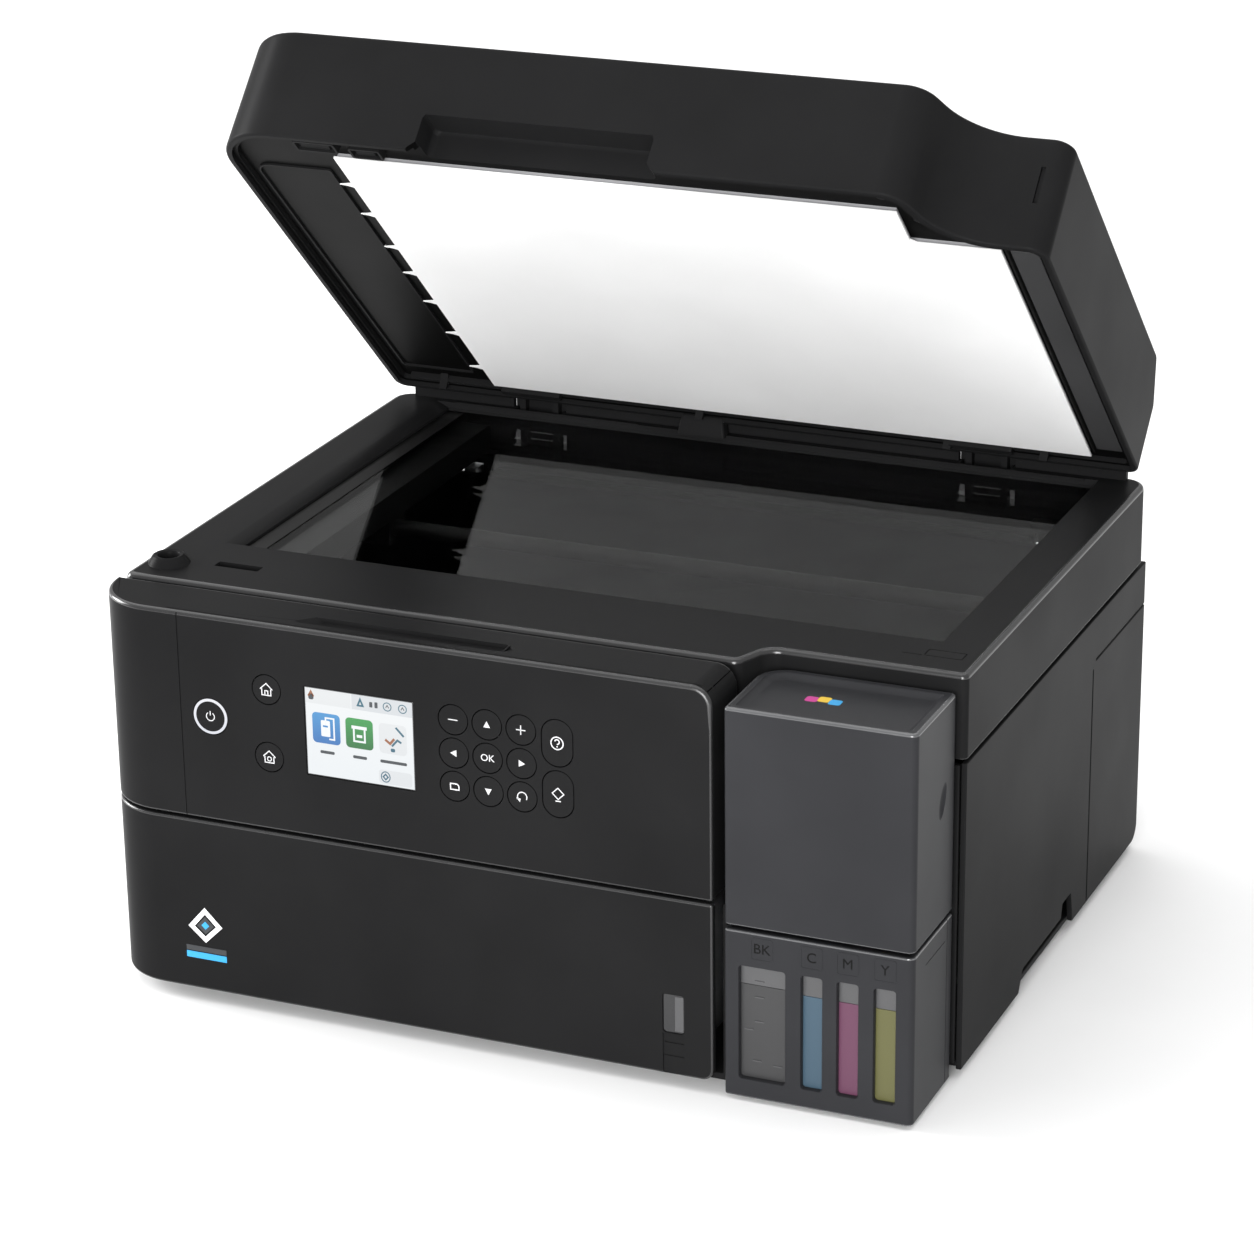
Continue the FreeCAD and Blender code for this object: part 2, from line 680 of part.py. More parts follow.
def cassette():
    outer = [
        block("tray_floor", (-163, 73), (-148, 112), (8.2, 10.7)),
        block("tray_left", (-163, -160.5), (-148, 112), (8.2, d.tray_top)),
        block("tray_right", (70.5, 73), (-148, 112), (8.2, d.tray_top)),
        block("tray_rear", (-163, 73), (109.5, 112), (8.2, d.tray_top)),
        block("tray_front", (-163, 73), (-148, -145.5), (8.2, d.tray_top)),
    ]
    node(fuse("tray", outer), "cassette_tray")
    z = (d.drawer_bottom, d.drawer_top)
    skin = wrapped_front("drawer_skin", d.wrap_back, 0, z)
    line = [
        (-d.half_width + 3, d.front + 3),
        (d.fascia_right + 20, d.front + 3),
        (d.fascia_right + 20, d.wrap_back + 20),
        (-d.half_width + 3, d.wrap_back + 20),
    ]
    room = prism("drawer_room", "xy", line, (d.drawer_bottom - 1, d.drawer_top + 1), {0: d.corner - 3})
    peep = block("drawer_peep", (75.3, 84.7), (-160, -140), (25.4, 43))
    shell = cut("drawer_cut", skin, [room, peep])
    ties = []
    for index, x in enumerate((-150, -50, 50)):
        ties.append(block("drawer_tie%d" % index, (x, x + 12), (-151, -148), (14, 46)))
    node(fuse("drawer", [shell] + ties), "cassette_front")
    ramp = [(-149, 84.4), (-30, 68), (-30, 70.4), (-149, 86.4)]
    plate = prism("output_plate", "yz", ramp, (-158, 68.5))
    skirt_line = [(-146, 50.2), (-30, 50.2), (-30, 69), (-146, 85)]
    skirts = [
        prism("output_left", "yz", skirt_line, (-163, -158)),
        prism("output_right", "yz", skirt_line, (68.5, 73)),
    ]
    node(fuse("output", [plate] + skirts), "output_tray")
    for side, face, reach in (("left", d.paper_left, -1), ("right", d.paper_right, 1)):
        inner, outer_face = face, face + 3 * reach
        low, high = sorted((inner.value, outer_face.value))
        fin = block("guide_fin_" + side, (low, high), (-50, 40), (11, 46))
        toe = sorted((face.value, face.value - 18 * reach))
        foot = block("guide_foot_" + side, (toe[0], toe[1]), (-20, 10), (11, 13))
        node(fuse("guide_" + side, [fin, foot]), "edge_guide_" + side)


# ---------------------------------------------------------------- control panel

# Each round key: its name, its place in X and Z, and whether it is the larger power key.
ROUND_KEYS = [
    ("power_button", -129.7, 135.5),
    ("home_button", -102.5, 151.6),
    ("cloud_button", -102.5, 121.1),
]
KEYPAD = [
    ("minus_button", "up_button", "plus_button"),
    ("left_button", "ok_button", "right_button"),
    ("paper_button", "down_button", "stop_button"),
]
PILL_KEYS = [("help_button", 147.4), ("start_button", 124.9)]
PILL_HALF_WIDTH = 6.8
PILL_HALF_HEIGHT = 10.2
KEY_FRONT = -153.5
KEY_BACK = -149.8


def key_list():
    """Every key as name, X, Z and half sizes; a round key has equal halves."""
    keys = []
    for name, x, z in ROUND_KEYS:
        radius = d.power_radius if name == "power_button" else d.key_radius
        keys.append((name, x, z, radius, radius))
    for row, names in enumerate(KEYPAD):
        for column, name in enumerate(names):
            keys.append((name, -16.6 + 15.25 * column, 150.8 - 14.8 * row, d.key_radius, d.key_radius))
    for name, z in PILL_KEYS:
        keys.append((name, 30.0, z, size(PILL_HALF_WIDTH), size(PILL_HALF_HEIGHT)))
    return keys


def key_form(name, x, z, half_x, half_z, y):
    """A round or pill-shaped peg along Y."""
    if half_x.value == half_z.value:
        return rod(name, "y", y, (x, z), half_x)
    rise = half_z - half_x
    ends = [rod(name + "_end%d" % i, "y", y, (x, z + rise * s), half_x) for i, s in enumerate((-1, 1))]
    middle = block(name + "_middle", (x - half_x, x + half_x), y, (z - rise, z + rise))
    return fuse(name + "_pill", ends + [middle])


def control_panel():
    z = (d.panel_bottom, d.panel_top)
    back = d.front + d.panel_depth
    skin = wrapped_front("panel_skin", back, 0, z)
    line = [
        (-d.half_width + d.wall, d.front + d.wall),
        (d.fascia_right - d.wall, d.front + d.wall),
        (d.fascia_right - d.wall, back + 20),
        (-d.half_width + d.wall, back + 20),
    ]
    depth = (d.panel_bottom + d.wall, d.panel_top - d.wall)
    room = prism("panel_room", "xy", line, depth, {0: d.corner - d.wall})
    mouth = block(
        "panel_mouth",
        (-d.half_width + 8, d.fascia_right - 4),
        (d.front + 9, d.front + 60),
        (d.panel_bottom - 1, d.panel_bottom + 5),
    )
    scoop_line = [(-90, -147), (10, -147), (4, -138), (-84, -138)]
    scoop = prism("panel_scoop", "xy", scoop_line, (d.panel_top - 1.8, d.panel_top + 1))
    seam = block("panel_seam", (-144, -143.3), (d.front - 1, d.front + 0.6), (80, 190))
    holes = [room, mouth, scoop, seam]
    for name, x, height, half_x, half_z in key_list():
        gap = d.key_gap
        hole = key_form("hole_" + name, x, height, half_x + gap, half_z + gap, (-160, -148))
        holes.append(hole)
    screen_x = (d.screen_left, d.screen_left + d.screen_width)
    screen_z = (d.screen_bottom, d.screen_bottom + d.screen_height)
    holes.append(block("screen_hole", screen_x, (-160, -148), screen_z))
    shell = cut("panel_shell", skin, holes)
    solids = [shell]
    for index, (rib, tip) in enumerate(((-165.0, -170.4), (81.5, 89.4))):
        start, end = sorted((rib + (2.5 if index else 0), tip))
        rib_x = (rib, rib + 2.5)
        solids.append(block("panel_rib%d" % index, rib_x, (d.front + 2, -128), (162, d.panel_top - 2)))
        pin = rod("panel_pin%d" % index, "x", (start, end), (d.panel_pivot_y, d.panel_pivot_z), 2.5)
        solids.append(pin)
    node(fuse("panel_all", solids), "control_panel")
    glass = block(
        "screen_glass",
        (screen_x[0] + 0.1, screen_x[1] - 0.1),
        (d.front + 0.2, d.front + 5),
        (screen_z[0] + 0.1, screen_z[1] - 0.1),
    )
    node(glass, "screen")
    for name, x, height, half_x, half_z in key_list():
        key = key_form("key_" + name, x, height, half_x, half_z, (KEY_FRONT, KEY_BACK))
        node(key, name)


# ---------------------------------------------------------------- scanner unit


def scanner_outline(inset):
    """The scanner unit in plan, stepped back behind the ink tanks."""
    half = d.half_width - inset
    front, back = d.scanner_front + inset, d.rear - inset
    return [
        (-half, front),
        (d.step_left - inset, front),
        (d.step_right - inset, d.scanner_front_right + inset),
        (half, d.scanner_front_right + inset),
        (half, back),
        (-half, back),
    ]


def scanner():
    rounds = {0: 4, 1: 5, 2: 8, 4: 10, 5: 10}
    skin = prism("scan_skin", "xy", scanner_outline(0), (d.scanner_bottom, d.scanner_top), rounds)
    inner = {0: 2, 1: 3, 2: 9, 4: 8, 5: 8}
    room = prism("scan_room", "xy", scanner_outline(d.wall), (d.scanner_bottom - 1, d.scanner_top - 4), inner)
    glass_x, glass_y = (d.glass_left, d.glass_right), (d.glass_front, d.glass_rear)
    opening = block("glass_opening", glass_x, glass_y, (170, 190))
    slot = block("catch_slot", (-154, -138), (-95, -90.5), (176, 190))
    notches = []
    for index, x in enumerate((-d.hinge_x, d.hinge_x)):
        notches.append(block("post_notch%d" % index, (x - 7.6, x + 7.6), (149, 160), (140, 152.4)))
    well = []
    for index, x in enumerate((-112, 112)):
        well.append(block("lid_well%d" % index, (x - 12, x + 12), (145.6, 152.2), (175, 190)))
    shell = cut("scan_shell", skin, [room, opening, slot] + notches + well)
    ring = taper("ring", (d.scanner_top - 0.5, d.scanner_top + 4), (-175, -102), (9, 6))
    bore = rod("ring_bore", "z", (170, 190), (-175, -102), 4.2)
    floor = []
    for index, x in enumerate((-112, 112)):
        ear_line = (x - 12, x + 12)
        floor.append(block("well_floor%d" % index, ear_line, (145, 153), (177, 179)))
        for side in (-1, 1):
            ear_x = (x + 8.5 * side - 1.5, x + 8.5 * side + 1.5)
            tag = "lid_ear%d%d" % (index, side > 0)
            floor.append(block(tag, ear_x, (d.lid_pivot_y - 3, d.lid_pivot_y + 2), (177, d.lid_pivot_z)))
            eye = rod(tag + "_eye", "x", ear_x, (d.lid_pivot_y, d.lid_pivot_z), 2.8)
            floor.append(eye)
        pin = rod("lid_pin%d" % index, "x", (x - 9, x + 9), (d.lid_pivot_y, d.lid_pivot_z), 1.5)
        floor.append(pin)
    topped = fuse("scan_topped", [shell, ring] + floor)
    node(cut("scan_final", topped, [bore]), "scanner_top")

    low = d.scanner_bottom + 1.4
    tray = prism("tray_skin", "xy", scanner_outline(d.wall + 0.1), (low, low + 2.2), inner)
    ends = [
        block("scan_end_left", (-184.8, -182.8), (-110, 140), (low, 170)),
        block("scan_end_right", (182.8, 184.8), (-96, 140), (low, 170)),
        block("scan_ledge_front", (-183, 183), (-92, -90), (low, 176)),
    ]
    lugs = []
    for index, x in enumerate((-d.hinge_x, d.hinge_x)):
        for side in (-1, 1):
            lug_x = (x + 5.2 * side - 1.7, x + 5.2 * side + 1.7)
            tag = "scan_lug%d%d" % (index, side > 0)
            lugs.append(block(tag, lug_x, (146.6, 152.8), (142.9, 152.2)))
    notches = []
    for index, x in enumerate((-d.hinge_x, d.hinge_x)):
        notches.append(block("tray_notch%d" % index, (x - 7.6, x + 7.6), (136, 160), (140, 152)))
    frame = cut("scan_frame", fuse("scan_tray", [tray] + ends), notches)
    bridge = []
    for index, x in enumerate((-d.hinge_x, d.hinge_x)):
        bridge.append(block("lug_bridge%d" % index, (x - 10, x + 10), (144, 150.9), (151, 156)))
        for side in (-1, 1):
            wall_x = (x + 8.8 * side - 1.2, x + 8.8 * side + 1.2)
            tag = "lug_wall%d%d" % (index, side > 0)
            bridge.append(block(tag, wall_x, (144, 150.9), (low, 156)))
    joined = fuse("scan_joined", [frame] + lugs + bridge)
    bores = [rod("scan_bore", "x", (-160, 160), (d.scan_pivot_y, d.scan_pivot_z), 2 + d.shaft_play)]
    node(cut("scan_base_cut", joined, bores), "scanner_base")

    pane_x = (d.glass_left - 2, d.glass_right + 2)
    pane = block("pane", pane_x, (d.glass_front - 2, d.glass_rear + 2), (173.9, 176.9))
    node(pane, "platen_glass")
    node(rod("cis_rod", "x", (-182.7, 182.7), (36, 155), 4), "cis_rail")
    bar = block("cis_bar", (-152, -134), (-66, 139), (160, 172.6))
    saddle = block("cis_saddle", (-152, -134), (28, 44), (149, 161))
    bore = rod("cis_bore", "x", (-160, -120), (36, 155), 4 + d.shaft_play)
    node(cut("cis", fuse("cis_solid", [bar, saddle]), [bore]), "cis_carriage")


# ---------------------------------------------------------------- lid with sheet feeder


def swung(item):
    """Turn a piece that is drawn shut about the lid's hinge to the open rest position."""
    pivot = vector(0, d.lid_pivot_y.value, d.lid_pivot_z.value)
    turn = FreeCAD.Rotation(vector(-1, 0, 0), d.lid_open.value)
    item.Placement = FreeCAD.Placement(vector(), turn, pivot)
    return item


def lid_outline(inset):
    """The lid in plan: a large front left corner and an S-shaped step at the front right."""
    half = d.lid_half - inset
    front, back = d.lid_front + inset, d.lid_rear - inset
    return [
        (-half, front),
        (130 - inset, front),
        (144 - inset, d.lid_front_right + inset),
        (half, d.lid_front_right + inset),
        (half, back),
        (-half, back),
    ]


def lid():
    low, high = d.lid_bottom, d.lid_top
    rounds = {0: d.lid_corner, 1: 14, 2: 32, 3: 6, 4: 6, 5: 6}
    inner = {0: d.lid_corner - 3, 1: 11, 2: 35, 3: 3, 4: 3, 5: 3}
    skin = prism("lid_skin", "xy", lid_outline(0), (low, high), rounds)
    room = prism("lid_room", "xy", lid_outline(3), (low + 8, high - 3), inner)
    under = prism("lid_under", "xy", lid_outline(5), (low - 1, low + 4.6), {0: 25, 1: 10, 2: 35})
    scoop = block("lid_scoop", (-86, 20), (d.lid_front - 2, d.lid_front + 15), (low - 2, low + 17))
    scoop_skin = block("scoop_skin", (-89, 23), (d.lid_front + 0.5, d.lid_front + 18), (low + 4.6, low + 20))
    feed_pocket = block("feed_pocket", (-180, -96), (-66, 124), (low + 24, high + 1))
    feed_skin = block("feed_skin", (-183, -93), (-69, 127), (low + 21, high - 1))
    out_pocket = block("out_pocket", (-90, 132), (-62, 116), (high - 22, high + 1))
    out_skin = block("out_skin", (-93, 135), (-65, 119), (high - 25, high - 1))
    gate = block("feed_gate", (-98, -88), (-62, 116), (high - 20, high - 4))
    hollow = fuse("lid_walls", [cut("lid_hollow", skin, [room, under]), scoop_skin, feed_skin, out_skin])
    slope = [(d.lid_rear - 20, high + 1), (d.lid_rear + 1, high + 1), (d.lid_rear + 1, high - 26)]
    back_slope = prism("lid_slope", "yz", slope, (-200, 200))
    slope_skin_line = [
        (d.lid_rear - 24, high - 0.5),
        (d.lid_rear - 19, high - 0.5),
        (d.lid_rear - 0.2, high - 26),
        (d.lid_rear - 3.4, high - 29),
    ]
    slope_skin = prism("slope_skin", "yz", slope_skin_line, (-182.6, 182.6))
    wells = []
    knuckles = []
    for index, x in enumerate((-112, 112)):
        wells.append(block("hinge_well%d" % index, (x - 13, x + 13), (142, 156), (low - 2, low + 12)))
        knuckle = block("knuckle%d" % index, (x - 6.4, x + 6.4), (140, d.lid_pivot_y), (185.4, 190.6))
        eye = rod("knuckle_eye%d" % index, "x", (x - 6.4, x + 6.4), (d.lid_pivot_y, d.lid_pivot_z), 2.6)
        bridge = block("hinge_block%d" % index, (x - 15, x + 15), (138.5, 142), (low + 1, low + 14))
        knuckles += [knuckle, eye, bridge]
    walled = fuse("lid_walled", [hollow, slope_skin])
    opened = cut("lid_opened", walled, [scoop, feed_pocket, out_pocket, gate, back_slope] + wells)
    pin = rod("feeder_pin", "y", (-68, 126), (d.feeder_pivot_x, d.feeder_pivot_z), 1.5)
    joined = fuse("lid_joined", [opened] + knuckles + [pin])
    bore = rod("knuckle_bore", "x", (-125, 125), (d.lid_pivot_y, d.lid_pivot_z), 1.55)
    shell = cut("lid_shell_cut", joined, [bore])
    node(swung(shell), "lid_shell")
    mat_line = [(-131, -79), (125.5, -79), (125.5, -54), (164.5, -54), (164.5, 138), (-131, 138)]
    mat = prism("mat", "xy", mat_line, (low + 1.4, low + 4.5))
    node(swung(mat), "document_mat")


def feeder():
    high = d.lid_top
    cover = block("feeder_plate", (d.feeder_pivot_x, -96.6), (-65.4, 123.4), (high - 2.6, high))
    pivot = (d.feeder_pivot_x, d.feeder_pivot_z)
    knuckle = rod("feeder_knuckle", "y", (-65.4, 123.4), pivot, 2.9)
    guide = block("feeder_guide", (-150, -110), (-50, 108), (224, high - 2))
    guide_room = block("feeder_guide_room", (-148, -112), (-48, 106), (220, high - 2.6))
    bore = rod("feeder_bore", "y", (-80, 140), pivot, 1.55)
    solid = fuse("feeder_solid", [cover, knuckle, cut("feeder_guide_cut", guide, [guide_room])])
    node(swung(cut("feeder_bored", solid, [bore])), "adf_cover")
    tray = block("support_plate", (-86, 131.6), (-61.6, 115.6), (high - 2.4, high))
    hinge = rod("support_hinge", "y", (-61.6, 115.6), (-84, high - 4.1), 3)
    recess = block("support_recess", (-60, 122), (-45, 100), (high - 1.2, high + 1))
    rail = block("support_rail", (-40, -36), (-44, 99), (high - 3, high + 1))
    node(swung(cut("support", fuse("support_solid", [tray, hinge]), [recess, rail])), "adf_input_tray")
    for side, y in (("front", -42.0), ("back", 94.0)):
        fin = block("feed_fin_" + side, (-56, 30), (y, y + 3), (high - 0.9, high + 1.4))
        tongue = block("feed_tongue_" + side, (-39.6, -36.4), (y, y + 3), (high - 2.7, high))
        node(swung(fuse("feed_guide_" + side, [fin, tongue])), "adf_guide_" + side)
    axle = rod("adf_shaft", "y", (-65.6, 123.6), (-130, 214), 2.5)
    tyres = [rod("adf_tyre%d" % i, "y", (6 + 30 * i, 22 + 30 * i), (-130, 214), 6.5) for i in range(2)]
    node(swung(fuse("adf_axle", [axle] + tyres)), "adf_roller")


# ---------------------------------------------------------------- build, check, write


def build():
    base_housing()
    side_covers()
    rubber_feet()
    mech_frame()
    carriage_rail()
    platen()
    carriage_motor()
    electronics()
    rear_sockets()
    tank_housing()
    ink_tanks()
    for ink, left, right, middle in INKS:
        tank_cap(ink, middle)
    ink_tank_cover()
    rollers()
    print_carriage()
    belt_pulley()
    rear_parts()
    cassette()
    control_panel()
    scanner()
    lid()
    feeder()
    doc.recompute()


def check():
    """Stop before anything is written if a feature failed or a sub-part is not a valid solid."""
    for item in doc.Objects:
        bad = {"Invalid", "Error"} & set(item.State)
        if bad:
            raise RuntimeError("%s is %s" % (item.Name, bad))
    for item in nodes:
        shape = item.Shape
        if shape.isNull() or not shape.isValid() or not shape.Solids:
            raise RuntimeError("%s has no valid solid" % item.Label)


def write():
    os.makedirs("parts", exist_ok=True)
    for old in os.listdir("parts"):
        if re.search(r"\.step$", old):
            os.remove(os.path.join("parts", old))
    for item in nodes:
        item.Shape.exportStep("parts/%s.step" % item.Label)
    print("%d sub-parts written" % len(nodes))


build()
check()
write()
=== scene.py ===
import json
import math

import bmesh
import bpy
from mathutils import Matrix, Vector

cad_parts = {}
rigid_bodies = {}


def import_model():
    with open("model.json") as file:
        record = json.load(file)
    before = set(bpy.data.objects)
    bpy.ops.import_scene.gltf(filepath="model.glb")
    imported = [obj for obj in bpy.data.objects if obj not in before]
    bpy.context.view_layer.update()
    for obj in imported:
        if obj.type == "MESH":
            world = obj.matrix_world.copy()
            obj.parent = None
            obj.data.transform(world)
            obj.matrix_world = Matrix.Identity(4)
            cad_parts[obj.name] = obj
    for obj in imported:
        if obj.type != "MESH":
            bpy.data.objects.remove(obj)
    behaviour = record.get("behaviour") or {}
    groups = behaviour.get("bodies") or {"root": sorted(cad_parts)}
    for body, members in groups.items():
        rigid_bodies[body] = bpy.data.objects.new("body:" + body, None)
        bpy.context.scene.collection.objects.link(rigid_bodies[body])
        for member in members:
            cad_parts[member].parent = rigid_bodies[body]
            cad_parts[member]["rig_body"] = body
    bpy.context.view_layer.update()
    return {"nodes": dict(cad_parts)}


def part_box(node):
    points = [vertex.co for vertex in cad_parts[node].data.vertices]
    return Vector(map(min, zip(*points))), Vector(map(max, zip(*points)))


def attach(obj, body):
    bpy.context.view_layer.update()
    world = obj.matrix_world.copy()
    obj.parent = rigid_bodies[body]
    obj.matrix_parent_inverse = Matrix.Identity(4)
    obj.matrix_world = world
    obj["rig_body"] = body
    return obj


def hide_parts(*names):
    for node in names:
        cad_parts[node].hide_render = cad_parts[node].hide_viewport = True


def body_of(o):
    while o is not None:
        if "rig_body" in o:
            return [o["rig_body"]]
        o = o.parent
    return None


# Desktop inkjet printer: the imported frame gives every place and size, and this script gives each
# piece its finished shape and surface. Sizes are millimetres, and become metres in piece(); only
# the lamps are placed in metres.
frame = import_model()
MM = 0.001
FAR = 1000  # beyond every piece, for regions open to one side


def corners(node):
    """The lowest and highest corner of a CAD node at rest, in millimetres."""
    low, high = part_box(node)
    return low / MM, high / MM


# ---------------------------------------------------------------- solids, in millimetres


def rounded(points, radii, steps=8):
    """An outline with a radius at each corner, none where the radius is 0."""
    line = []
    count = len(points)
    for index, point in enumerate(points):
        radius = radii[index] if isinstance(radii, (list, tuple)) else radii
        corner = Vector(point)
        if not radius:
            line.append(corner)
            continue
        before = (Vector(points[index - 1]) - corner).normalized()
        after = (Vector(points[(index + 1) % count]) - corner).normalized()
        half = before.angle(after) / 2
        centre = corner + (before + after).normalized() * radius / math.sin(half)
        start = corner + before * radius / math.tan(half) - centre
        end = corner + after * radius / math.tan(half) - centre
        first = math.atan2(start.y, start.x)
        turn = math.atan2(end.y, end.x) - first
        turn = (turn + math.pi) % (2 * math.pi) - math.pi
        for step in range(steps + 1):
            angle = first + turn * step / steps
            line.append(centre + Vector((math.cos(angle), math.sin(angle))) * radius)
    return line


def rectangle(left, right, low, high):
    return [(left, low), (right, low), (right, high), (left, high)]


def oval(centre, radii, steps=40):
    """A closed curve round a centre."""
    turns = [2 * math.pi * k / steps for k in range(steps)]
    return [(centre[0] + radii[0] * math.cos(t), centre[1] + radii[1] * math.sin(t)) for t in turns]


PLANES = {
    "xy": lambda u, v, w: (u, v, w),
    "xz": lambda u, v, w: (u, w, v),
    "yz": lambda u, v, w: (w, u, v),
}


def loft(sections, plane="xy"):
    """A closed solid through outlines of equal count, each given with its level."""
    solid = bmesh.new()
    rings = []
    for line, level in sections:
        rings.append([solid.verts.new(PLANES[plane](point[0], point[1], level)) for point in line])
    for lower, upper in zip(rings, rings[1:]):
        for index in range(len(lower)):
            after = (index + 1) % len(lower)
            solid.faces.new((lower[index], lower[after], upper[after], upper[index]))
    solid.faces.new(rings[0][::-1])
    solid.faces.new(rings[-1])
    bmesh.ops.recalc_face_normals(solid, faces=solid.faces)
    return solid


def prism(line, span, plane="xy"):
    return loft([(line, span[0]), (line, span[1])], plane)


def box(x, y, z):
    return prism(rectangle(x[0], x[1], y[0], y[1]), z)


def rod(axis, centre, radius, span, steps=32):
    """A round bar; centre gives the other two coordinates in X, Y, Z order."""
    plane = {"x": "yz", "y": "xz", "z": "xy"}[axis]
    return prism(oval(centre, (radius, radius), steps), span, plane)


def turned(profile, axis, centre, steps=48):
    """A solid of revolution from (radius, level) pairs, closed at both ends."""
    plane = {"x": "yz", "y": "xz", "z": "xy"}[axis]
    return loft([(oval(centre, (radius, radius), steps), level) for radius, level in profile], plane)


def ribbon(line, width, span, plane="xz", closed=False):
    """A flat strip that follows a line, with mitred turns, as a closed solid."""
    points = [Vector(point) for point in line]
    count = len(points)
    left, right = [], []
    for index, point in enumerate(points):
        before = points[index - 1] if closed or index else point
        after = points[(index + 1) % count] if closed or index < count - 1 else point
        first = (point - before).normalized() if point != before else (after - point).normalized()
        second = (after - point).normalized() if point != after else first
        normal = Vector((-(first + second).y, (first + second).x)).normalized()
        reach = width / 2 / max(0.35, normal.dot(Vector((-first.y, first.x))))
        left.append(point + normal * reach)
        right.append(point - normal * reach)
    if not closed:
        return prism(left + right[::-1], span, plane)
    solid = bmesh.new()
    rings = []
    for level, side in ((span[0], left), (span[0], right), (span[1], right), (span[1], left)):
        rings.append([solid.verts.new(PLANES[plane](p[0], p[1], level)) for p in side])
    for lower, upper in zip(rings, rings[1:] + rings[:1]):
        for index in range(count):
            after = (index + 1) % count
            solid.faces.new((lower[index], lower[after], upper[after], upper[index]))
    bmesh.ops.recalc_face_normals(solid, faces=solid.faces)
    return solid


def together(solids):
    """Several closed solids in one mesh."""
    whole = bmesh.new()
    for solid in solids:
        scratch = bpy.data.meshes.new("scratch")
        solid.to_mesh(scratch)
        whole.from_mesh(scratch)
        bpy.data.meshes.remove(scratch)
        solid.free()
    return whole


def evaluated(host):
    """The mesh of an object with its modifiers, and the object removed."""
    graph = bpy.context.evaluated_depsgraph_get()
    mesh = bpy.data.meshes.new_from_object(host.evaluated_get(graph))
    bpy.data.objects.remove(host)
    return mesh


def stand_in(name, solid):
    mesh = bpy.data.meshes.new(name)
    solid.to_mesh(mesh)
    solid.free()
    item = bpy.data.objects.new(name, mesh)
    bpy.context.scene.collection.objects.link(item)
    return item


def as_solid(mesh):
    solid = bmesh.new()
    solid.from_mesh(mesh)
    bpy.data.meshes.remove(mesh)
    return solid


def carved(base, cutters):
    """The base with every cutter taken away; two empty material places keep painted faces apart."""
    host = stand_in("host", base)
    host.data.materials.append(None)
    host.data.materials.append(None)
    tools = [stand_in("tool", cutter) for cutter in cutters]
    for tool in tools:
        step = host.modifiers.new("step", "BOOLEAN")
        step.operation = "DIFFERENCE"
        step.solver = "EXACT"
        step.object = tool
    mesh = evaluated(host)
    for tool in tools:
        bpy.data.objects.remove(tool)
    solid = as_solid(mesh)
    bmesh.ops.remove_doubles(solid, verts=solid.verts, dist=0.002)
    return solid


def softened(solid, width, special=(), steps=2, angle=35, painted_highlight=0):
    """Sharp edges rounded off; special gives another width inside a region (low, high, width).

    If a place is given, the rounded faces take the material at that place in the piece's list, a lighter and
    glossier copy of the casing: a painted highlight."""
    widest = max([width] + [extra[2] for extra in special])
    layer = solid.edges.layers.float.get("bevel_weight_edge")
    layer = layer or solid.edges.layers.float.new("bevel_weight_edge")
    for edge in solid.edges:
        edge[layer] = 0
        if len(edge.link_faces) != 2 or edge.calc_face_angle(0) < math.radians(angle):
            continue
        middle = (edge.verts[0].co + edge.verts[1].co) / 2
        chosen = width
        for low, high, wide in special:
            if all(low[i] <= middle[i] <= high[i] for i in range(3)):
                chosen = wide
        edge[layer] = chosen / widest
    host = stand_in("host", solid)
    bevel = host.modifiers.new("round", "BEVEL")
    bevel.limit_method = "WEIGHT"
    bevel.width = widest
    bevel.segments = steps
    bevel.use_clamp_overlap = False
    bevel.miter_outer = "MITER_ARC"
    if painted_highlight:
        host.data.materials.append(None)
        host.data.materials.append(None)
        bevel.material = painted_highlight
    return as_solid(evaluated(host))


def own_shape(node):
    """A CAD node's shape as one connected solid in millimetres."""
    solid = bmesh.new()
    solid.from_mesh(frame["nodes"][node].data)
    bmesh.ops.transform(solid, matrix=Matrix.Scale(1 / MM, 4), verts=solid.verts)
    bmesh.ops.remove_doubles(solid, verts=solid.verts, dist=0.01)
    bmesh.ops.dissolve_limit(
        solid, angle_limit=math.radians(0.7), verts=solid.verts, edges=solid.edges, delimit={"NORMAL"}
    )
    return solid


def lettering(text, height, centre, level, depth):
    """Plain raised letters on a face towards -Y."""
    curve = bpy.data.curves.new("letters", "FONT")
    curve.body = text
    curve.align_x = curve.align_y = "CENTER"
    curve.size = height * 1.35
    curve.extrude = depth
    curve.resolution_u = 4
    item = bpy.data.objects.new("letters", curve)
    bpy.context.scene.collection.objects.link(item)
    solid = as_solid(evaluated(item))
    bpy.data.curves.remove(curve)
    bmesh.ops.remove_doubles(solid, verts=solid.verts, dist=0.0005)
    stand = Matrix.Translation((centre[0], level, centre[1])) @ Matrix.Rotation(math.pi / 2, 4, "X")
    bmesh.ops.transform(solid, matrix=stand, verts=solid.verts)
    bmesh.ops.recalc_face_normals(solid, faces=solid.faces)
    return solid


def painted(solid, index):
    """Mark a solid's faces for the material at this place in the piece's list."""
    for face in solid.faces:
        face.material_index = index
    return solid


